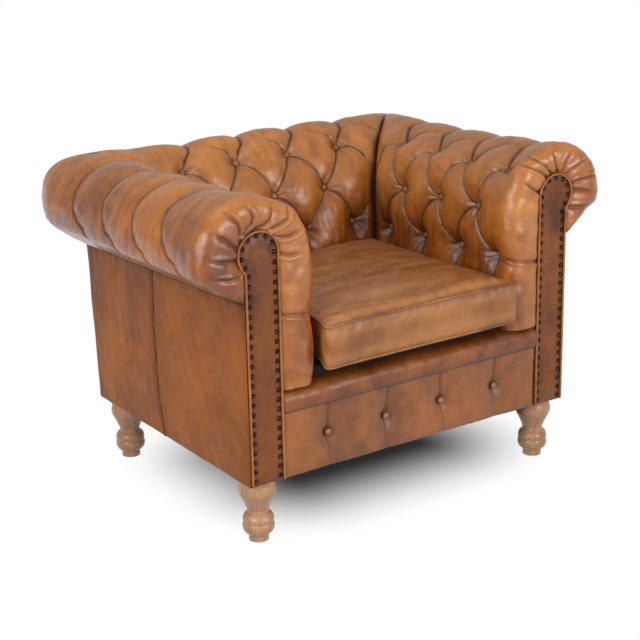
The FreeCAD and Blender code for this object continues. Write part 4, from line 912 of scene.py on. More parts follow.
def strip_edge(p):
    """For each place on the roll's outline, the place on the strip's edge where its ray starts."""
    radius = HEAD_RADIUS - UNDER_STRIP
    angle = np.arctan2(p[:, 1] - HEAD_Z, p[:, 0] - HEAD_X)
    ray = np.stack([HEAD_X + radius * np.cos(angle), HEAD_Z + radius * np.sin(angle)], -1)
    wall = (p[:, 1] < HEAD_Z) & (ROW < 3)
    ray[wall] = np.stack([np.full(wall.sum(), STRIP_IN + UNDER_STRIP), p[wall, 1]], -1)
    under = ROW > 4.6
    start = angle[np.argmax(under) - 1]
    notch = -math.acos((STRIP_OUT - UNDER_STRIP - HEAD_X) / radius)
    arc = radius * (start - notch)
    drop = HEAD_Z + radius * math.sin(notch) - (ROLL_AXIS + SEAM[1])
    travelled = (ROW[under] - 4.6) / 0.4 * (arc + drop)
    turned = start - np.minimum(travelled, arc) / radius
    ray[under] = np.stack([
        np.where(travelled < arc, HEAD_X + radius * np.cos(turned), STRIP_OUT - UNDER_STRIP),
        HEAD_Z + radius * np.sin(turned) - np.maximum(travelled - arc, 0)], -1)
    return ray


def arm_front():
    """The front's base surface, from the strip outwards, and its distances along the arm."""
    roll = np.stack([ARM_AXIS + ARM_SECTION[:, 0],
                     ROLL_AXIS - ROLL_FALL * FRONT_START * FALL + ARM_SECTION[:, 1]], -1)
    start = strip_edge(roll)
    reach = np.linalg.norm(roll - start, axis=1)
    ray = (roll - start) / reach[:, None]
    edge = np.minimum(FRONT_EDGE, reach * FRONT_EDGE_SHARE)
    flat, quarter = reach - edge, edge * math.pi / 2
    total = flat + quarter + (FRONT_START - FRONT_BULGE - FRONT_EDGE)
    travelled = np.linspace(0, 1, FRONT_STEPS)[:, None] * total
    turn = np.clip((travelled - flat) / edge, 0, math.pi / 2)
    inward = np.where(travelled < flat, travelled, flat + edge * np.sin(turn))
    y = FRONT_BULGE + FRONT_EDGE * (1 - np.cos(turn)) + np.maximum(travelled - flat - quarter, 0)
    y = y + (UNDER_STRIP - FRONT_BULGE) * np.exp(-travelled / OUT_FROM_STRIP)
    x, z = (start[:, k] + ray[:, k] * inward for k in (0, 1))
    return np.stack([x, y, z], -1), FRONT_START - (total - travelled)


def gather_field(points, gathers):
    """Depth of the short folds that radiate from the strip's head, and the painted shade along
    them.
    """
    depth, crease = np.zeros(points.shape[:2]), np.zeros(points.shape[:2])
    for line in gathers:
        line = np.array(line)
        line = np.r_[[line[0] * 1.6 - line[1] * 0.6], line]
        away, side, along = fold_distance(points[..., 0], points[..., 2], line)
        strength = np.clip(along * 2.6, 0, 1) * np.clip((0.05 - points[..., 1]) / 0.04, 0, 1)
        lip = bell(away * side - GATHER_LIP_PLACE, GATHER_LIP_WIDTH)
        depth += strength * (GATHER_DEPTH * bell(away, GATHER_WIDTH, 1.3) - GATHER_LIP * lip)
        # Painted shade along each gather.
        crease = np.maximum(crease, strength * 0.9 * bell(away, GATHER_LINE, 1.5))
    return depth, crease


def stuffed_front(front, depth, gathered, seed):
    """The front's points after folds and gathers have drawn them in."""
    normal = grid_normals(front)
    normal *= np.sign((normal * (front - front.mean((0, 1)))).sum(-1).mean())
    normal = np.where(normal[..., 1:2] > 0.35, -normal, normal)
    swell = 0.0012 * ripple(front[..., 0], front[..., 2], 0.05, seed)
    gathered = gathered + swell * np.clip((0.02 - front[..., 1]) / 0.02, 0, 1)
    return front[:-1] - normal[:-1] * (depth + gathered[:-1])[..., None]


print("the front's sheet has", arm_front()[0].shape[:2], "rows and columns")

# %% [markdown]
# ## Folds of an arm
# Besides the diamonds, each upper button has a ring fold that goes over the roll to the seam
# outside. On its way it bulges towards the rear, more on the left arm than on the right one, as
# in the photograph. Short pleats run from the first button onto the front.

# %% Folds of an arm
RING_ROWS = (2, 2.25, 2.5, 2.75, 3, 3.3, 3.5, 3.7, 3.87, 4.0, 4.15, 4.41, 5)
RING_OFFSETS = {
    "left": (0, 0.018, 0.041, 0.070, 0.091, 0.100, 0.098, 0.090, 0.070, 0.045, 0.020, 0.014, 0.0),
    "right": (0, 0.014, 0.034, 0.048, 0.045, 0.042, 0.040, 0.036, 0.028, 0.020, 0.012, 0.008, 0.0),
}
FIRST_RING_SHARE = {"left": 1.15, "right": 0.72}


def arm_folds(part):
    high, _, low = ARM_BUTTONS
    folds = diamond_folds(ARM_BUTTONS, 0.6, 0.6) + saddle_folds(high)
    for k, button in enumerate(high):
        offsets = np.array(RING_OFFSETS[part]) * (1.0 if k else FIRST_RING_SHARE[part])
        folds.append(ring_fold(button, offsets, RING_ROWS))
    folds += corner_folds(high[3], low[3], (0.524, 1.62), (0.512, 0.55))
    onto_front = np.array([(ARM_FIRST, 0), (0.04, -0.03), (0.0, -0.08), (-0.03, -0.1)])
    folds.append((onto_front, (0.009, 0.006, 0.003, 0.001), (0.014, 0.010, 0.008),
                  (0.9, 0.6, 0.4, 0.1)))
    for rise, reach in ((0.34, 0.012), (0.1, 0.020), (-0.22, 0.022)):
        pleat = np.array([(ARM_FIRST, 2), (0.045, 2 + rise * 0.6), (reach, 2 + rise)])
        folds.append((pleat, (0.008, 0.004, 0.0005), (0.010, 0.007, 0.005), (0.7, 0.35, 0.0)))
    return in_travel(folds)


print("an arm's cover has", len(arm_folds("left")), "folds in all")

# %% [markdown]
# ## An arm's cover in one sheet
# The straight part of an arm follows its axis, the last part turns into the corner, and the
# gathered front is put before them. Under the cover lies the padding, a body between two deeper
# copies of the same sheet, so it fits under every fold.

# %% Cover of an arm
ARM_STRAIGHT = np.linspace(FRONT_START, BACK_AXIS - FAN_REACH, 186)
CORNER_STEPS, ARM_SEAM_GAP, CREST_DROP, COLUMN_BULGE = 54, 0.0004, 0.004, 0.005
PADDING_GAP, PADDING_TOP, PADDING_BOTTOM, PADDING_STEP = 0.006, 0.012, 0.046, 4


def arm_place(cut, depth, slope, part):
    """Points of the right arm beside its axis, drawn in by a depth. The straight has slope 0."""
    flat, forward, up = sink(cut, depth, slope)
    y = BACK_AXIS - ARM_SEAM_GAP + forward
    y[:len(ARM_STRAIGHT)] = ARM_STRAIGHT[:, None]
    z = ROLL_AXIS - ROLL_FALL * np.minimum(y, BACK_AXIS) * FALL + up
    along = np.r_[ARM_STRAIGHT, BACK_AXIS - FAN_REACH * (1 - slope[len(ARM_STRAIGHT):])]
    return np.stack([ARM_AXIS + flat, y + FRONT_SHIFT, z + lift(part, along[:, None], ROW)], -1)


def padding_skins(place, depth):
    """The top and the bottom of the padding under a sheet, in larger steps."""
    top = np.maximum(depth + PADDING_GAP, PADDING_TOP)
    bottom = np.full(depth.shape, PADDING_BOTTOM)
    return [place(skin)[::PADDING_STEP, ::PADDING_STEP] for skin in (top, bottom)]


def arm_cover(side, part, gathers, seed):
    """The whole sheet of one arm, side -1 for the left and 1 for the right."""
    slope = np.r_[np.zeros(len(ARM_STRAIGHT)), corner_slopes(CORNER_STEPS)]
    cut, travelled = lie(ARM_SECTION, slope)
    body_s = BACK_AXIS + travelled
    body_s[:len(ARM_STRAIGHT)] = ARM_STRAIGHT[:, None]
    front, front_s = arm_front()
    s = np.concatenate([front_s[:-1], body_s])
    t = np.broadcast_to(TRAVEL, s.shape)
    depth, crease = fold_field(s, t, arm_folds(part))
    depth, crease = add_buttons(s, t, depth, crease, ARM_BUTTONS)
    column = np.clip((1.2 - ROW) / 0.6, 0, 1) * bell(s - 0.03, 0.04)
    crest = bell(ROW - 3, 0.5) * np.clip((0.6 - s) / 0.2, 0, 1)
    depth = depth + pillow_swell(s, t, seed) - COLUMN_BULGE * column + CREST_DROP * crest
    depth, crease = sew_corner(depth, crease, s[-1] - s)

    rows = FRONT_STEPS - 1
    gathered, gather_crease = gather_field(front, gathers)
    crease[:rows] = np.maximum(crease[:rows], gather_crease[:-1])
    front = stuffed_front(front, depth[:rows], gathered, seed + 2)
    front[..., 2] += lift(part, 0.0, ROW) * np.linspace(0, 1, rows)[:, None]

    def place(depth):
        return arm_place(cut, depth, slope, part) * (side, 1, 1)

    front = (front + (0, FRONT_SHIFT, 0)) * (side, 1, 1)
    points = np.concatenate([front, place(depth[rows:])])
    return points, depth, crease, padding_skins(place, depth[rows:])


def cover_piece(name, points, depth, crease, material, flip):
    """The sheet as an object. Its pillows and the lips beside its folds get a painted highlight
    over their rubbing, and its folds and hollows get painted shade.
    """
    faces = grid_faces(*points.shape[:2])
    inside = np.clip(ROW, 0, 1) * np.clip(4 - ROW, 0, 1)
    # Painted highlight with rubbing on the pillows and on the lips beside the folds.
    worn = 0.5 * np.clip(1 - crease * 2, 0, 1) * inside + 0.8 * np.clip(-crease, 0, 1)
    # The crease and hollow marks are painted shade in the folds and where the sheet lies deep.
    piece = make_piece(name, points, faces[:, ::-1] if flip else faces, material,
                       crease=np.clip(crease, 0, 1) * 0.9, worn=worn,
                       hollow=np.clip((depth - 0.005) / 0.015, 0, 1) * 0.8)
    return piece


def foam_piece(name, skins, node):
    """The padding under a cover: a closed body between two sheets."""
    piece = make_shell(name, *skins, foam)
    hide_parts(node)


for side, word, gathers, seed in ((-1, "left", GATHERS_LEFT, 11), (1, "right", GATHERS_RIGHT, 31)):
    points, depth, crease, padding = arm_cover(side, word, gathers, seed)
    cover = cover_piece(f"arm_cover_{word}", points, depth, crease, hide_arm, side < 0)
    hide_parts(f"arm_leather_{word}", f"scroll_front_{word}")
    foam_piece(f"arm_padding_{word}", padding, f"arm_foam_{word}")
    print(cover.name, points.shape, "deepest fold", round(float(depth.max()), 4))

# %% [markdown]
# ## Back
# The back's sheet is made in the same way, with a corner at each end. Its folds bend less than
# those of the arms, as they do in the photograph.

# %% Cover of the back
BACK_HALF = ARM_AXIS - FAN_REACH
BACK_STRAIGHT = np.linspace(-BACK_HALF, BACK_HALF, 190)
BACK_RING_ROWS = (2, 2.4, 2.7, 3, 3.3, 3.7, 4.0, 4.4, 5)
BACK_RING_OFFSETS = (0, 0.018, 0.038, 0.045, 0.045, 0.030, 0.015, 0.004, 0)


def back_folds():
    high, _, low = BACK_BUTTONS
    folds = diamond_folds(BACK_BUTTONS, 0.35, 0.15)
    folds += saddle_folds(high + [(high[3][0] + BACK_STEP, 2)])
    folds += [ring_fold(button, BACK_RING_OFFSETS, BACK_RING_ROWS) for button in high]
    for k, side in ((3, 1), (0, -1)):
        folds += corner_folds(high[k], low[k], (side * 0.274, 1.62), (side * 0.266, 0.55))
    return in_travel(folds)


def back_cover(seed):
    turned = corner_slopes(CORNER_STEPS)
    slope = np.r_[turned[::-1], np.zeros(len(BACK_STRAIGHT)), turned]
    side = np.r_[-np.ones(CORNER_STEPS), np.ones(len(BACK_STRAIGHT) + CORNER_STEPS)][:, None]
    straight = slice(CORNER_STEPS, CORNER_STEPS + len(BACK_STRAIGHT))
    cut, travelled = lie(BACK_SECTION, slope)
    s = side * (ARM_AXIS + travelled)
    s[straight] = BACK_STRAIGHT[:, None]
    t = np.broadcast_to(TRAVEL, s.shape)
    depth, crease = fold_field(s, t, back_folds())
    depth, crease = add_buttons(s, t, depth, crease, BACK_BUTTONS)
    depth, crease = sew_corner(depth + pillow_swell(s, t, seed), crease, s[-1] - np.abs(s))
    x_along = side * (BACK_HALF + slope[:, None] * FAN_REACH)
    x_along[straight] = BACK_STRAIGHT[:, None]

    def place(depth):
        flat, forward, up = sink(cut, depth, slope)
        x = side * (ARM_AXIS + forward)
        x[straight] = BACK_STRAIGHT[:, None]
        z = ROLL_AXIS - ROLL_FALL * BACK_AXIS * FALL + up + lift("back", x_along, ROW)
        return np.stack([x, BACK_AXIS + flat + FRONT_SHIFT, z], -1)

    return place(depth), depth, crease, padding_skins(place, depth)


back_points, back_depth, back_crease, back_padding = back_cover(51)
cover = cover_piece("back_cover", back_points, back_depth, back_crease, hide_back, True)
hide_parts("back_leather")
foam_piece("back_padding", back_padding, "back_foam")
print(cover.name, back_points.shape)

# %% [markdown]
# ## Covered buttons
# A covered button is a low dome with the same leather drawn round it. It sits on the bottom of
# its pit and faces the way the sheet would face there.

# %% Buttons
BUTTON_RADIUS, BUTTON_SEGMENTS, BUTTON_RISE, BUTTON_WELD = 0.0082, 28, 0.0055, 1e-5
BUTTON_PROFILE = (
    (0.0, 0.0046), (0.3, 0.0044), (0.58, 0.0036), (0.8, 0.0024), (0.94, 0.0009),
    (1.0, -0.0008), (0.96, -0.0022), (0.8, -0.0032), (0.4, -0.0036), (0.0, -0.0036))


def button_points(centre, outward, seed):
    """A dome on its pit, a little uneven as hand-covered buttons are."""
    turn = Vector(outward).to_track_quat("Z", "Y").to_matrix()
    angle = np.linspace(0, 2 * math.pi, BUTTON_SEGMENTS, endpoint=False)
    rings = []
    for share, height in BUTTON_PROFILE:
        radius = BUTTON_RADIUS * share * (1 + 0.02 * np.sin(angle * 2 + seed))
        rise = height + 0.00025 * share * np.sin(angle * 7 + seed * 2)
        rings.append(np.stack([radius * np.cos(angle), radius * np.sin(angle), rise], -1))
    return np.stack(rings) @ np.array(turn).T + np.array(centre)


def buttons_piece(name, places, node):
    points = [button_points(centre, outward, k) for k, (centre, outward) in enumerate(places)]
    rings, count = len(BUTTON_PROFILE), len(BUTTON_PROFILE) * BUTTON_SEGMENTS
    faces = [grid_faces(rings, BUTTON_SEGMENTS, k * count, wrap=True) for k in range(len(points))]
    # Painted shade towards the dome's rim and round its foot.
    edge = np.clip(1 - np.array([height for _, height in BUTTON_PROFILE]) / 0.002, 0, 1) * 0.6
    crease = np.tile(np.repeat(edge, BUTTON_SEGMENTS), len(points))
    points, faces = np.concatenate(points), np.concatenate(faces)
    piece = face_out(make_piece(name, points, faces, hide_welt, crease=crease), BUTTON_WELD)
    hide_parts(node)


def roll_button(part, own, at, row, along):
    """Across the roll and up, where a button sits in its pit, and its outward direction."""
    across, up, out, rise = (np.interp(to_travel(row), TRAVEL, own[:, k]) for k in range(4))
    deep = BUTTON_DEPTH - BUTTON_RISE
    up = ROLL_AXIS - ROLL_FALL * along + up + lift(part, at, row)
    return across - out * deep, up - rise * deep, out, rise


arm_spots, back_spots = [], []
for at, row in itertools.chain(*ARM_BUTTONS):
    for side, part in ((-1, "left"), (1, "right")):
        across, up, out, rise = roll_button(part, ARM_SECTION, at, row, at)
        centre = (side * (ARM_AXIS + across), at + FRONT_SHIFT, up)
        arm_spots.append((centre, (side * out, 0, rise)))
for at, row in itertools.chain(*BACK_BUTTONS):
    across, up, out, rise = roll_button("back", BACK_SECTION, at, row, BACK_AXIS)
    back_spots.append(((at, BACK_AXIS + across + FRONT_SHIFT, up), (0, out, rise)))
buttons_piece("covered_buttons_arms", arm_spots, "arm_buttons")
buttons_piece("covered_buttons_back", back_spots, "back_buttons")
print(len(arm_spots), "buttons on the arms,", len(back_spots), "on the back")

# %% [markdown]
# ## Welts
# A welt is a thin cord in a folded strip of leather, sewn into a seam. A curve with a round
# section would do, but a welt has to be a closed mesh that can ride on a body, so rings of points
# are set round its line and joined.

# %% Lines and tubes
WELT_SEGMENTS = 10


def arc_points(centre, radius, start, end, count):
    angles = np.linspace(start, end, count)
    return np.array(centre) + radius * np.stack([np.cos(angles), np.sin(angles)], -1)


def along_line(line, at):
    """Points of a line in a plane, at distances along it."""
    return np.stack([np.interp(at, chord(line), line[:, k]) for k in (0, 1)], -1)


def evenly(line, spacing):
    """Points along an open line, as near to the spacing as the length allows."""
    length = chord(line)[-1]
    return along_line(line, np.linspace(0, length, int(round(length / spacing)) + 1))


def tube_points(line, radius, closed=False):
    """Rings of points round a line."""
    ahead = np.roll(line, -1, 0) - np.roll(line, 1, 0)
    if not closed:
        ahead[0], ahead[-1] = line[1] - line[0], line[-1] - line[-2]
    ahead = unit(ahead)
    helper = np.array((0.0, 1.0, 0.0) if abs(ahead[:, 1]).max() < 0.9 else (0.0, 0.0, 1.0))
    side = unit(np.cross(ahead, helper))
    up = np.cross(side, ahead)
    angle = np.linspace(0, 2 * math.pi, WELT_SEGMENTS, endpoint=False)[None, :, None]
    return line[:, None] + radius * (np.cos(angle) * side[:, None] + np.sin(angle) * up[:, None])


def tube_faces(rings, segments, first=0, closed=False):
    """Faces round rings of points, and a cap at each end if the tube isn't closed to a ring."""
    last = first + (rings - 1) * segments
    faces = grid_faces(rings, segments, first, wrap=True).tolist()
    if not closed:
        return faces + [list(range(start, start + segments)) for start in (first, last)]
    after = [(k + 1) % segments for k in range(segments)]
    return faces + [[last + k, first + k, first + j, last + j] for k, j in enumerate(after)]


def welts_piece(name, lines, radius, node, closed=False):
    points, faces = [], []
    for line in lines:
        first = sum(len(rings) for rings in points) * WELT_SEGMENTS
        points.append(tube_points(line, radius, closed))
        faces += tube_faces(len(line), WELT_SEGMENTS, first, closed)
    piece = face_out(make_piece(name, np.concatenate(points), faces, hide_welt))
    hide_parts(node)
    return piece


print("a welt of 3 rings has", len(tube_faces(3, WELT_SEGMENTS)), "faces")

# %% [markdown]
# ## Nailed strips on the fronts of the arms
# Each strip is leather over thin wadding on a board, with a welt along its edge and a row of
# domed nails inside the welt. The nails press small dents into it. The strip is made of rings
# that follow its outline inwards, so that the dents and the rounded edge fall on the mesh.

# %% Strip and its welt
BODY_LOW, HOLLOW = 0.146, 0.012
WELT, WELT_INSET, WELT_OUT_OF_STRIP, WELT_RING_STEP = 0.0026, 0.0028, -0.0026, 0.003
NAIL_INSET, NAIL_PITCH, NAIL_FOOT = 0.0114, 0.0214, 0.012
STRIP_FACE, STRIP_EDGE, STRIP_EDGE_FALL, STRIP_CROWN = 0.0002, 0.0045, 0.0048, 0.0016
NAIL_DENT, NAIL_DENT_WIDTH = 0.0012, 0.0075
STRIP_INSETS = (0.0, 0.0006, 0.0018, 0.0034, 0.0055, 0.0075, 0.0095, NAIL_INSET, 0.0133, 0.0153,
                0.018, 0.021, 0.025, 0.031, 0.037)


def strip_outline(inset):
    """The strip's outline from the inner foot over the head to the outer foot, and its foot."""
    inner, outer, low = STRIP_IN + inset, STRIP_OUT - inset, BODY_LOW + inset
    radius, hollow = HEAD_RADIUS - inset, HOLLOW + inset
    gap = outer - HEAD_X
    drop = math.sqrt((radius + hollow) ** 2 - (gap + hollow) ** 2)
    turn = math.atan2(drop, gap + hollow)
    neck = (outer + hollow, HEAD_Z - drop)
    runs = (
        (np.array([(inner, low), (inner, HEAD_Z)]), 150),
        (arc_points((HEAD_X, HEAD_Z), radius, math.pi, -turn, 60), 60),
        (arc_points(neck, hollow, math.pi - turn, math.pi, 14), 14),
        (np.array([(outer, HEAD_Z - drop), (outer, low)]), 140),
    )
    spread = [along_line(run, np.linspace(0, chord(run)[-1], count, endpoint=False))
              for run, count in runs]
    return np.concatenate(spread), np.linspace((outer, low), (inner, low), 30, endpoint=False)


def nail_places():
    line = strip_outline(NAIL_INSET)[0]
    return evenly(line[line[:, 1] > BODY_LOW + NAIL_FOOT], NAIL_PITCH)


def strip_piece(side, word):
    nails = nail_places()
    rings = []
    for inset in STRIP_INSETS:
        ring = np.concatenate(strip_outline(inset))
        y = STRIP_FACE + rim_fall(inset, STRIP_EDGE, STRIP_EDGE_FALL)
        y = y - STRIP_CROWN * min(1, inset / 0.03)
        away = np.hypot(ring[:, None, 0] - nails[:, 0], ring[:, None, 1] - nails[:, 1]).min(1)
        y = y + NAIL_DENT * bell(away, NAIL_DENT_WIDTH)
        y = y + 0.0003 * ripple(ring[:, 0], ring[:, 1], 0.03, 7)
        rings.append(np.stack([side * ring[:, 0], y + FRONT_SHIFT, ring[:, 1]], -1))
    count = len(rings[0])
    # Painted shade along the strip's rounded rim.
    edge = np.array([0.7 * max(0, 1 - inset / 0.006) for inset in STRIP_INSETS])
    piece = face_out(make_piece(
        f"nailed_strip_{word}", np.concatenate(rings), tube_faces(len(rings), count),
        hide_facing, crease=np.repeat(edge, count)))
    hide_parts(f"facing_leather_{word}")


strip_piece(-1, "left")
strip_piece(1, "right")
welt_line = evenly(strip_outline(WELT_INSET)[0], WELT_RING_STEP)
x, z = welt_line.T
y = np.full(len(x), WELT_OUT_OF_STRIP + FRONT_SHIFT)
welts = [np.stack([side * x, y, z], -1) for side in (-1, 1)]
welts_piece("strip_welts", welts, WELT, "facing_piping")
print(len(nail_places()), "nails on each strip")

# %% [markdown]
# ## Lip of the seat
# Under the cushion runs a plain padded lip: a stuffed roll with an even front, that goes back
# into the seams above and below it. One section is drawn along the seat, with small swells.

# %% Lip
SEAT_HALF, LIP_DROP = 0.3487, 0.0008
LIP_CUT = (
    (0.020, 0.2925), (0.006, 0.2915), (-0.002, 0.2945), (-0.0062, 0.302), (-0.0082, 0.314),
    (-0.0074, 0.325), (-0.0034, 0.334), (0.003, 0.3405), (0.011, 0.3445), (0.022, 0.347),
    (0.040, 0.349))
LIP_INSIDE, LIP_LEATHER, LIP_FLOOR, LIP_CEILING = 0.020, 0.002, 0.2965, 0.342


def lip_piece():
    cut = np.array(LIP_CUT)
    stops = chord(cut)
    at = np.linspace(0, stops[-1], 34)
    x = np.linspace(-SEAT_HALF, SEAT_HALF, 240)[:, None] + np.zeros(len(at))
    y, z = (smooth_through(stops, cut[:, k], at) + np.zeros(x.shape) for k in (0, 1))
    swell = 0.0008 * ripple(x, z * 3, 0.09, 71) + 0.0004 * ripple(x, z * 4, 0.03, 72)
    y = y + swell * np.clip((0.02 - y) / 0.02, 0, 1) + rim_fall(SEAT_HALF - abs(x), 0.006, 0.003)
    sag = 0.0012 * ripple(x, z * 0, 0.14, 73) * np.clip((z - 0.33) / 0.01, 0, 1)
    outer = np.stack([x, y + FRONT_SHIFT, z + sag - LIP_DROP], -1)
    inner = outer.copy()
    inner[..., 1] = np.maximum(outer[..., 1], LIP_INSIDE + FRONT_SHIFT) + LIP_LEATHER
    inner[..., 2] = np.clip(outer[..., 2], LIP_FLOOR, LIP_CEILING)
    # Painted shade along the seam under the lip, and towards its top and bottom edges.
    crease = np.clip((0.2975 - z) / 0.004, 0, 1) * 0.9
    painted_shade = 0.75 * np.clip(abs(z - 0.320) / 0.026, 0, 1) ** 2
    piece = make_shell("seat_front_roll", outer, inner, hide_front, crease=crease, hollow=painted_shade)
    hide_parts("seat_lip")
    return piece


lip = lip_piece()
print(lip.name, len(lip.data.polygons), "faces")

# %% [markdown]
# ## Buttoned border
# Under the lip is a border with four buttons, pleated up and down from each. It is flat leather
# over thin padding, so its folds are shallow and its edges turn under.

# %% Border
APRON_STEP, APRON_BUTTON_Z, APRON_HIGH = 0.154, 0.222, 0.2953
APRON_FACE, APRON_BACK, APRON_BUTTON_DEPTH = 0.0006, 0.0134, 0.0082
APRON_EDGE, APRON_EDGE_FALL, APRON_PIT = 0.005, 0.004, 0.0040


def pleats(number, at, up):
    """The pleat above and the pleat below a button of the border."""
    lean = 0.003 * math.sin(number * 2.1)
    above = np.array([(at, up), (at + lean, up + 0.035), (at + lean * 1.5, APRON_HIGH + 0.004)])
    below = np.array([(at, up), (at - lean, up - 0.04), (at - lean, BODY_LOW)])
    return [(above, (0.0076, 0.0066, 0.006), (0.022, 0.026, 0.028), (0.55, 0.4, 0.5)),
            (below, (0.0068, 0.0042, 0.003), (0.020, 0.026, 0.028), (0.5, 0.25, 0.3))]


def apron_piece():
    x, z = np.meshgrid(np.linspace(-SEAT_HALF, SEAT_HALF, 280),
                       np.linspace(BODY_LOW, APRON_HIGH, 62), indexing="ij")
    spots = [(APRON_STEP * (k - 1.5), APRON_BUTTON_Z) for k in range(4)]
    folds = [fold for k, (at, up) in enumerate(spots) for fold in pleats(k, at, up)]
    depth, crease = fold_field(x, z, folds)
    for at, up in spots:
        away = np.hypot(x - at, z - up)
        depth += APRON_PIT * bell(np.maximum(away - 0.006, 0), 0.013, 1.2)
        # Painted shade round each button.
        crease = np.maximum(crease, 0.7 * bell(np.maximum(away - 0.0065, 0), 0.004, 1.5))
    depth += 0.0007 * ripple(x, z, 0.08, 81) + 0.0005 * ripple(x * 2, z, 0.05, 82)
    edge = np.minimum(SEAT_HALF - abs(x), np.minimum(z - BODY_LOW, APRON_HIGH - z + 0.002))
    depth += rim_fall(edge, APRON_EDGE, APRON_EDGE_FALL)
    # Painted shade along the top, under the lip.
    crease = np.maximum(crease, np.clip((z - APRON_HIGH + 0.0035) / 0.003, 0, 1) * 0.8)
    # Painted highlight, with some rubbing, on the puffs and on the pleats' lips.
    worn = 0.25 * np.clip(1 - abs(crease), 0, 1) + 0.8 * np.clip(-crease, 0, 1)
    # Painted shade in the pits and pleats and near the floor.
    painted_shade = 0.85 * np.clip((depth - 0.001) / 0.008, 0, 1) + 0.5 * np.exp(-(z - BODY_LOW) / 0.02)
    outer = np.stack([x, APRON_FACE + depth + FRONT_SHIFT, z], -1)
    inner = np.stack([x, np.full(x.shape, APRON_BACK + FRONT_SHIFT), z], -1)
    piece = make_shell("buttoned_border", outer, inner, hide_front,
                       crease=np.clip(crease, 0, 1), worn=worn, hollow=painted_shade)
    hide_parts("front_apron")
    return spots


apron_spots = [((at, APRON_BUTTON_DEPTH + FRONT_SHIFT, up), (0, -1, 0))
               for at, up in apron_piece()]
buttons_piece("covered_buttons_border", apron_spots, "apron_buttons")
print(len(apron_spots), "buttons on the border")

# %% [markdown]
# ## Outside panels
# Each arm's outside is two leather panels, joined by an upright seam with a folded, raised edge.
# Leather over a flat frame isn't quite flat: it swells a little and shows where it is pulled.

# %% Outside panels
SIDE_X, PANEL_BACK, PANEL_LEAN, PANEL, PANEL_GAP = 0.4375, 0.685, 0.055, 0.0045, 0.0003
PANEL_FRONT, PANEL_TUCK, PANEL_TOP_ABOUT = 0.0005, 0.004, 0.5497
PANEL_SUNK, SEAM_RAISE, PANEL_RIM, PANEL_RIM_FALL = 0.0016, 0.0014, 0.003, 0.0024
SEAM_LINE = ((0.146, 0.3625), (0.159, 0.3676), (0.23, 0.381), (0.302, 0.3878), (0.42, 0.3895),
             (0.524, 0.3845), (0.56, 0.383))


def panel_piece(name, place, u, v, top, marks, seed, node):
    """A flat panel: u along it, v up it, and place turns u, v and a depth into a point."""
    below = np.maximum(top - v, 0)
    depth = 0.0010 * ripple(u, v, 0.16, seed) + 0.0005 * ripple(u * 2.2, v, 0.07, seed + 1)
    depth = depth + 0.0011 * np.exp(-below / 0.03) * ripple(u * 1.5, v * 0.2, 0.05, seed + 2)
    depth, crease = marks(u, depth)
    # Painted shade along the top, under the roll.
    crease = np.maximum(crease, 0.9 * bell(top - v, 0.009))
    ends = np.minimum(u - u.min(0), u.max(0) - u)
    # Painted shade under the roll and near the floor, darker towards the panel's ends, with a
    # little random tone.
    painted_shade = (0.6 * np.exp(-below / 0.05) + 0.3 * np.exp(-np.maximum(v - BODY_LOW, 0) / 0.03)
           + 0.3 * np.exp(-ends / 0.04) + 0.1 * ripple(u, v, 0.2, seed + 3))
    rim = np.minimum(ends, v - BODY_LOW)
    depth = np.maximum(depth, 0) + rim_fall(rim, PANEL_RIM, PANEL_RIM_FALL)
    piece = make_shell(name, place(u, v, depth), place(u, v, np.full(u.shape, PANEL)), hide_side,
                       crease=crease, hollow=np.clip(painted_shade, 0, 1))
    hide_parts(node)


print("a panel's leather is", round(PANEL * 1000, 1), "mm thick with its padding")

# %% [markdown]
# ## The panels in place
# Each panel reaches from the chair's foot to the seam under the roll, which falls towards the
# rear. The upright seam bends and the rear edge leans, so a panel is not a plain rectangle.

# %% Panels in place
def rear_edge(height):
    """How far back the outside reaches: it leans back with the inside."""
    return PANEL_BACK + PANEL_LEAN * (height - BODY_LOW)


def panel_top(along):
    """The height of the seam under the roll, and a little more that is tucked in."""
    return ROLL_AXIS + SEAM[1] - ROLL_FALL * SEAM_FALL * along + PANEL_TUCK


def side_panel(part, share, heights):
    """Places along and up one of an arm's two panels, its top and the seam between the two."""
    top = PANEL_TOP_ABOUT
    for refined in (False, True):
        v = BODY_LOW + heights * (top - BODY_LOW)
        seam = np.interp(v, *np.array(SEAM_LINE).T)
        start, end = (PANEL_FRONT, seam) if part == "front" else (seam, rear_edge(v) - PANEL_GAP)
        u = start + share * (end - start)
        top = top if refined else panel_top(u)
    return u, v, top, seam


def side_panels(side, word):
    for part, count, seed in (("front", 150, 91), ("rear", 120, 95)):
        share, heights = np.linspace(0, 1, count)[:, None], np.linspace(0, 1, 150)[None, :]
        u, v, top, seam = side_panel(part, share, heights)

        def marks(u, depth, seam=seam, part=part):
            # The crease mark is painted shade along the seam and beside its raised edge.
            away = np.abs(u - seam)
            if part == "front":
                raised = PANEL_SUNK + SEAM_RAISE * bell(away, 0.004)
                return depth + raised, 0.95 * bell(away, 0.0035)
            return depth + PANEL_SUNK * (1 - bell(away, 0.0055)), 0.5 * bell(away - 0.009, 0.003)

        def place(u, v, depth):
            return np.stack([side * (SIDE_X - depth), u + FRONT_SHIFT, v], -1)

        panel_piece(f"side_panel_{part}_{word}", place, u, v, top, marks, seed + side,
                    f"outside_arm_{part}_{word}")


def back_panel():
    share, heights = np.linspace(-1, 1, 200)[:, None], np.linspace(0, 1, 110)[None, :]
    u = share * (SIDE_X - PANEL - PANEL_GAP) + 0 * heights
    top = panel_top(PANEL_BACK) + 0 * u

    def marks(u, depth):
        return depth + 0.0008, 0 * depth

    def place(u, v, depth):
        return np.stack([u, rear_edge(v) - depth + FRONT_SHIFT, v], -1)

    panel_piece("rear_panel", place, u, BODY_LOW + heights * (top - BODY_LOW), top, marks, 105,
                "outside_back")


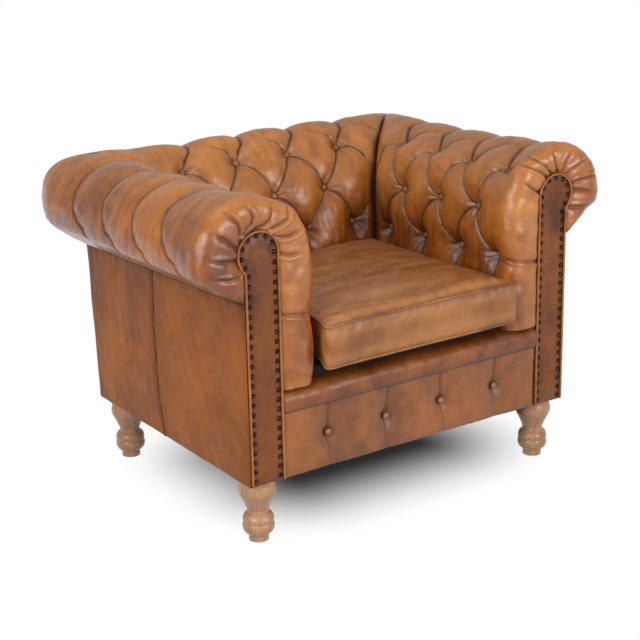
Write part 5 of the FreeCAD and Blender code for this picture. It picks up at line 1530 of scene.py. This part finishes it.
side_panels(-1, "left")
side_panels(1, "right")
back_panel()
print("the seam under an arm's roll is at", round(float(panel_top(0.3)), 3), "m")

# %% [markdown]
# ## Outline of the seat cushion
# A loose cushion is a leather cover, sewn with a welt round its top and bottom, over a block of
# foam. Seen from above it is a rounded rectangle whose sides are drawn in between the corners.
# Its front corners spread, as in the photograph, because the arms don't hold them in there.

# %% Outline of the cushion
CUSHION_HALF, CUSHION_FRONT, CUSHION_BACK = 0.2485, -0.031, 0.496
CUSHION_CORNER, CUSHION_DRAW_IN, CORNER_FLARE, CUSHION_SHIFT = 0.013, 0.005, 0.016, 0.008
FLARE_REACH, SHIFT_REACH = 0.045, 0.2
SEAM_LOW, SEAM_HIGH, CROWN_RISE, SAG, BAND_RISE = 0.3835, 0.4735, 0.0155, 0.0025, 0.0045
FRONT_SAG, WELT_OUT, CUSHION_WELT = 0.008, 0.0012, 0.0027
CUSHION_VOXEL, ZIP_BAND, ZIP_HALF = 0.0056, 0.012, 0.216


def cushion_outline(offset):
    """A rounded rectangle whose sides are drawn in a little between the corners."""
    half = CUSHION_HALF + offset
    front, back = CUSHION_FRONT - offset, CUSHION_BACK + offset
    radius = CUSHION_CORNER + offset
    corners = ((half - radius, back - radius, 0), (radius - half, back - radius, 90),
               (radius - half, front + radius, 180), (half - radius, front + radius, 270))
    points = []
    for k, (x, y, start) in enumerate(corners):
        angles = np.radians(np.linspace(start, start + 90, 16))
        points += list(zip(x + radius * np.cos(angles), y + radius * np.sin(angles)))
        x1, y1, _ = corners[(k + 1) % 4]
        facing = math.radians(start + 90)
        share = np.linspace(0, 1, 90)[1:-1]
        draw = radius - (CUSHION_DRAW_IN if k else 0) * np.sin(math.pi * share) ** 0.8
        points += list(zip(x + (x1 - x) * share + draw * math.cos(facing),
                           y + (y1 - y) * share + draw * math.sin(facing)))
    x, y = np.array(points).T
    corner = np.clip(abs(x) / half, 0, 1) ** 4
    x = x + np.sign(x) * CORNER_FLARE * bell(y - CUSHION_FRONT, FLARE_REACH) * corner
    return np.stack([x + CUSHION_SHIFT * bell(y - CUSHION_FRONT, SHIFT_REACH), y], -1)


def outline_distance(points):
    """How far inside the cushion's outline each point lies, seen from above."""
    line = cushion_outline(0.0)
    wall = [(x, y, z) for x, y in line for z in (0, 1)]
    count = len(wall)
    faces = [(k, k + 1, (k + 3) % count, (k + 2) % count) for k in range(0, count, 2)]
    tree = BVHTree.FromPolygons(wall, faces)
    return np.array([tree.find_nearest((x, y, 0.5))[3] for x, y in points[:, :2]])


def seam_distance(z):
    """How far above or below the nearer of the cushion's two seams a height is."""
    return np.minimum(abs(z - SEAM_LOW), abs(z - SEAM_HIGH))


def cushion_slope(y):
    """The cushion is a little lower at its rear, where people sit."""
    return 0.006 * np.clip((y - 0.15) / 0.3, 0, 1)


def front_sag(y):
    """The cushion's lower edge hangs a little over the seat's front."""
    return FRONT_SAG * bell(y - CUSHION_FRONT, 0.035)


print("the cushion's outline has", len(cushion_outline(0.0)), "points")

# %% [markdown]
# ## Blank of the cushion
# The cover starts as a plain box with rounded corners. Cloth bends evenly only where its cells
# are of equal size, so a modifier remeshes the box.

# %% Blank of the cushion
def apply_modifiers(piece):
    """Keeps what the piece's modifiers make of its mesh, and takes them off."""
    graph = bpy.context.evaluated_depsgraph_get()
    result = bpy.data.meshes.new_from_object(piece.evaluated_get(graph))
    piece.modifiers.clear()
    piece.data = result


def coordinates(piece):
    flat = np.empty(len(piece.data.vertices) * 3)
    piece.data.vertices.foreach_get("co", flat)
    return flat.reshape(-1, 3)


def set_coordinates(piece, points):
    piece.data.vertices.foreach_set("co", points.ravel())
    piece.data.update()


def cushion_blank():
    """The box that the simulation starts from, in cells of equal size."""
    line = cushion_outline(-0.002)
    levels = np.linspace(SEAM_LOW, SEAM_HIGH, 16)
    points = np.stack([np.c_[line, np.full(len(line), z)] for z in levels])
    faces = tube_faces(len(levels), len(line))
    blank = face_out(make_piece("cushion_cover", points, faces, hide_seat, body="cushion"))
    remesh = blank.modifiers.new("remesh", "REMESH")
    remesh.mode = "VOXEL"
    remesh.voxel_size = CUSHION_VOXEL
    apply_modifiers(blank)
    return blank


cushion = cushion_blank()
print("blank of the cushion:", len(cushion.data.polygons), "cells")

# %% [markdown] ## Swelling of the cushion The block of foam presses the cover out, and the seams
# hold it in. So the cover is simulated as cloth: its seams are held, and air pressure swells it.
# What the pressure does is then limited, because foam gives less than air.

# %% Swelling of the cushion
def swell(piece, pressure, cap, held):
    """Blows the piece up like cloth and then limits how far each point has gone."""
    before = coordinates(piece)
    group = piece.vertex_groups.new(name="seams")
    for k in np.nonzero(held)[0].tolist():
        group.add([k], 1.0, "REPLACE")
    skin = piece.modifiers.new("skin", "CLOTH")
    settings = skin.settings
    settings.quality = 5
    settings.mass = 0.4
    settings.tension_stiffness = settings.compression_stiffness = 22
    settings.bending_stiffness = 1.5
    settings.shrink_min = -0.012
    settings.use_pressure = True
    settings.uniform_pressure_force = pressure
    settings.effector_weights.gravity = 0
    settings.vertex_group_mass = "seams"
    skin.point_cache.frame_end = 20
    for step in range(1, 21):
        bpy.context.scene.frame_set(step)
    apply_modifiers(piece)
    moved = coordinates(piece) - before
    size = np.linalg.norm(moved, axis=1, keepdims=True)
    limited = cap[:, None] * np.tanh(size / cap[:, None])
    set_coordinates(piece, before + moved * limited / np.maximum(size, 1e-9))
    bpy.context.scene.frame_set(1)
    piece.vertex_groups.clear()


def press_out(cover):
    points = coordinates(cover)
    x, y, z = points.T
    inside = outline_distance(points)
    top, bottom = z > SEAM_HIGH - 0.01, z < SEAM_LOW + 0.01
    near_seam = (seam_distance(z) < 0.004) & (inside < 0.007)
    near_zip = (y > CUSHION_BACK - ZIP_BAND) & (abs(x) < ZIP_HALF)
    cap = np.where(top, CROWN_RISE + 0.001, np.where(bottom, SAG, BAND_RISE))
    swell(cover, 4.0, cap, near_seam | near_zip)
    smooth = cover.modifiers.new("smooth", "SMOOTH")
    smooth.iterations = 3
    divide = cover.modifiers.new("divide", "SUBSURF")
    divide.levels = divide.render_levels = 1
    apply_modifiers(cover)


press_out(cushion)
crown = float(coordinates(cushion)[:, 2].max()) - SEAM_HIGH
print("the foam lifts the cover's top", round(crown, 4), "m over its seam")

# %% [markdown]
# ## Cover of the cushion
# Used leather has soft dents, and it puckers beside its welts. These are small moves of the
# points, and the painted shade beside the welts and a band of painted highlight with rubbing
# inside them are stored in the mesh for the leather's finish.

# %% Cover of the cushion
def finish_cover(cover):
    """Soft dents of use, painted shade beside the welts, and a band of painted highlight with
    rubbing inside them.
    """
    points = coordinates(cover)
    inside = outline_distance(points)
    x, y, z = points.T
    away = np.hypot(inside, seam_distance(z))
    top = np.clip((z - SEAM_HIGH) / 0.004, 0, 1)
    wave = 0.0011 * ripple(x, y, 0.16, 121) + 0.0005 * ripple(x, y * 1.4, 0.06, 122)
    pucker = 0.0006 * ripple(x * 2.5 + y * 2.5, z, 0.05, 123) * bell(away - 0.012, 0.012)
    points[:, 2] += top * (wave + pucker) * np.clip(inside / 0.02, 0, 1)
    points[:, 2] += 0.006 * top * (1 - np.exp(-inside / 0.016))
    upper = np.clip((z - SEAM_LOW) / (SEAM_HIGH - SEAM_LOW), 0, 1)
    points[:, 2] -= cushion_slope(y) * upper + front_sag(y) * (1 - upper)
    points[:, 1] += FRONT_SHIFT
    set_coordinates(cover, points)
    # Painted shade beside the welts, and a band of painted highlight with rubbing inside them.
    for mark, values in (("crease", 0.85 * bell(away, 0.0065)),
                         ("worn", 0.35 * bell(away - 0.02, 0.012))):
        layer = cover.data.attributes.new(mark, "FLOAT", "POINT")
        layer.data.foreach_set("value", values)
    cover.data.polygons.foreach_set("use_smooth", [True] * len(cover.data.polygons))


finish_cover(cushion)
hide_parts("cushion_top_panel", "cushion_bottom_panel", "cushion_boxing",
            "cushion_zip_gusset")
print("cushion cover:", len(cushion.data.polygons), "faces")

# %% [markdown]
# ## Welts of the cushion
# Each welt follows one of the cushion's seams. The cover has moved a little in the simulation, so
# the welt's line is pulled to the nearest place on it and then moved a little outward.

# %% Welts of the cushion
cover_tree = BVHTree.FromPolygons(
    coordinates(cushion).tolist(), [p.vertices[:] for p in cushion.data.polygons])


def welt_ring(height, seed):
    x, y = cushion_outline(0.0).T
    high = height > (SEAM_LOW + SEAM_HIGH) / 2
    height = height - (cushion_slope(y) if high else front_sag(y))
    ring = np.stack([x, y + FRONT_SHIFT, height + 0.0006 * ripple(x, y, 0.12, seed)], -1)
    nearest = np.array([cover_tree.find_nearest(Vector(point))[0] for point in ring])
    kernel = np.ones(7) / 7
    pull = np.stack([np.convolve(np.r_[d[-3:], d, d[:3]], kernel, "valid")
                     for d in (nearest - ring).T], -1)
    outward = unit(np.stack([x * 2, y - 0.23, 0 * x], -1))
    moved = round(float(np.linalg.norm(pull, axis=1).max()), 4)
    print("the welt is moved by up to", moved, "m to the cover")
    return ring + pull + outward * WELT_OUT


for word, height, seed in (("top", SEAM_HIGH, 131), ("bottom", SEAM_LOW, 132)):
    ring = welts_piece(f"cushion_welt_{word}", [welt_ring(height, seed)], CUSHION_WELT,
                       f"cushion_piping_{word}", closed=True)
    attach(ring, "cushion")

# %% [markdown]
# ## Hidden padding
# What the leather hides still has its own shape: the foam block in the cushion, the platform it
# lies on and the sprung pad. A bevelled cube would have flat sides, so a cube in fine cells is
# pushed out to rounded edges and crowned on top.

# %% Soft blocks
def soft_block(name, node, material, radius, crown, body="chair", inset=0):
    """A block with rounded edges in a node's place, a little crowned on top."""
    low, high = np.array(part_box(node)) + np.array((1, -1))[:, None] * inset
    work = bmesh.new()
    bmesh.ops.create_cube(work, size=2)
    bmesh.ops.subdivide_edges(work, edges=work.edges, cuts=26, use_grid_fill=True)
    work.verts.index_update()
    points = np.array([v.co for v in work.verts])
    faces = [[v.index for v in face.verts] for face in work.faces]
    work.free()
    points = np.sign(points) * (1 - (1 - abs(points)) ** 1.7)
    swell = crown * np.prod(np.cos(points[:, :2] * math.pi / 2), axis=1) ** 0.6
    real = (low + high) / 2 + points * (high - low) / 2
    core = np.clip(real, low + radius, high - radius)
    away = real - core
    real = core + away / np.maximum(np.linalg.norm(away, axis=1, keepdims=True), 1e-9) * radius
    real[:, 2] += (swell - crown) * np.clip(points[:, 2], 0, 1)
    uneven = ripple(real[:, 0], real[:, 1], 0.09, 141)
    real[:, 2] += 0.0006 * uneven * (abs(points[:, 2]) > 0.99)
    piece = face_out(make_piece(name, real, faces, material, body))
    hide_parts(node)
    print(name, "is", [round(float(side), 3) for side in high - low], "m")


soft_block("cushion_foam_block", "cushion_core", foam, 0.012, 0.014, body="cushion",
           inset=(0.009, 0.009, 0.005))
soft_block("seat_deck", "seat_platform", shadow_black_deck_cloth, 0.009, 0.003)
soft_block("sprung_pad", "seat_base_pad", wadding, 0.010, 0.002)

# %% [markdown]
# ## Hessian behind the padding
# Hessian is a coarse cloth that is stretched over the openings of the frame and tacked down, so
# that the stuffing has something to lie on. It is a flat sheet with a slight bow.

# %% Stretched cloths
CLOTH, CLOTH_BOW, CLOTH_CELLS = 0.0006, 0.0006, 40
LINING_OUT, LINING_BACK = 0.0013, 0.0003


def stretched_cloth(name, node, panels, material, gap_axis):
    """Flat cloth panels with a slight bow. panels are (origin, u edge, v edge)."""
    points, faces, area = [], [], 0.0
    shares = np.linspace(0, 1, CLOTH_CELLS)
    u, v = np.meshgrid(shares, shares, indexing="ij")
    for origin, along, up in panels:
        faces.append(shell_faces(CLOTH_CELLS, CLOTH_CELLS) + len(points) * CLOTH_CELLS ** 2)
        bow = CLOTH_BOW * np.sin(math.pi * u) * np.sin(math.pi * v)
        bow = bow + 0.0002 * ripple(u, v, 0.3, 151)
        sheet = np.array(origin) + u[..., None] * np.array(along) + v[..., None] * np.array(up)
        for level in (bow, bow + CLOTH):
            layer = sheet.copy()
            layer[..., gap_axis] += level
            points.append(layer.reshape(-1, 3))
        area += np.linalg.norm(along) * np.linalg.norm(up)
    piece = face_out(make_piece(name, np.concatenate(points), np.concatenate(faces), material))
    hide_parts(node)
    print(name, "has", round(float(area), 3), "square metres")


low, high = (np.array(c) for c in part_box("arm_linings"))
sides = [((side * high[0] - (LINING_OUT if side > 0 else 0), low[1], low[2]),
          (0, high[1] - low[1], 0), (0, 0, high[2] - low[2])) for side in (-1, 1)]
stretched_cloth("hessian_arms", "arm_linings", sides, hessian, 0)
low, high = (np.array(c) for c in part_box("back_lining"))
behind = [((low[0], low[1] + LINING_BACK, low[2]),
           (high[0] - low[0], 0, 0), (0, 0, high[2] - low[2]))]
stretched_cloth("hessian_back", "back_lining", behind, hessian, 1)

# %% [markdown]
# ## Cloth under the frame
# Black cloth is tacked under the frame to keep dust out, and it is cut out round each leg. The
# cells next to a leg are pushed to a circle, so that the cut is round, and those inside it go.

# %% Dust cloth
LEGS = "leg_front_left", "leg_front_right", "leg_rear_left", "leg_rear_right"
LEG_CUT, LEG_CUT_PUSH, LEG_CUT_INSIDE = 0.0500, 0.056, 0.0478


def dust_cloth():
    """Black cloth under the frame, cut out round the legs."""
    low, high = (np.array(c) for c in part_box("dust_cover"))
    count = 140
    x, y = np.meshgrid(*(np.linspace(low[k], high[k], count) for k in (0, 1)), indexing="ij")
    keep = np.ones((count - 1, count - 1), bool)
    for leg in LEGS:
        cx, cy, _ = np.mean(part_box(leg), axis=0)
        away = np.hypot(x - cx, y - cy)
        push = np.where(away < LEG_CUT_PUSH, np.clip(LEG_CUT / np.maximum(away, 1e-6), 1, 1.12), 1)
        x, y = cx + (x - cx) * push, cy + (y - cy) * push
        inside = away < LEG_CUT_INSIDE
        keep &= ~(inside[:-1, :-1] | inside[1:, :-1] | inside[:-1, 1:] | inside[1:, 1:])
    sag = 0.0004 * np.cos(x / 0.84 * math.pi) * np.cos((y + 0.03) / 0.65 * math.pi)
    sag = sag + 0.0001 * ripple(x, y, 0.1, 161)
    top = np.stack([x, y, high[2] - 0.0001 - np.maximum(sag, 0)], -1).reshape(-1, 3)
    faces = grid_faces(count, count).reshape(count - 1, count - 1, 4)[keep]
    edges = np.concatenate([faces[:, [k, (k + 1) % 4]] for k in range(4)])
    keys = {tuple(e) for e in edges.tolist()}
    below = count ** 2
    rim = np.array([(a, b, b + below, a + below) for a, b in keys if (b, a) not in keys])
    points = np.concatenate([top, top - (0, 0, CLOTH)])
    faces = np.concatenate([faces, faces[:, ::-1] + below, rim])
    piece = face_out(make_piece("black_dust_cloth", points, faces, black_cloth))
    area = float(sum(p.area for p in piece.data.polygons)) / 2
    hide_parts("dust_cover")
    return area


print("the dust cloth has", round(dust_cloth(), 3), "square metres")

# %% [markdown]
# ## Finishes of the timber and metal pieces
# These keep their construction solids, which are already the shapes that they have, and each
# gets its finish.

# %% Carried-over pieces
FINISHES = {
    leg_wood: LEGS,
    nail_bronze: ("facing_nails",),
    frame_timber: ("front_posts", "rear_posts", "front_rail", "rear_rail", "side_rails",
                   "arm_top_rails", "back_top_rail", "arm_slats", "back_slat", "back_uprights",
                   "corner_blocks", "scroll_boards", "facing_boards"),
    bright_steel: ("seat_springs", "spring_clips", "corner_screws", "leg_bolts", "leg_inserts"),
    nylon: ("leg_glides",),
    zip_brass: ("zip_chain", "zip_slider"),
}
for material, names in FINISHES.items():
    for name in names:
        NODES[name].data.materials.clear()
        NODES[name].data.materials.append(material)
print(sum(len(n) for n in FINISHES.values()), "pieces keep their solids")

# %% [markdown]
# ## End
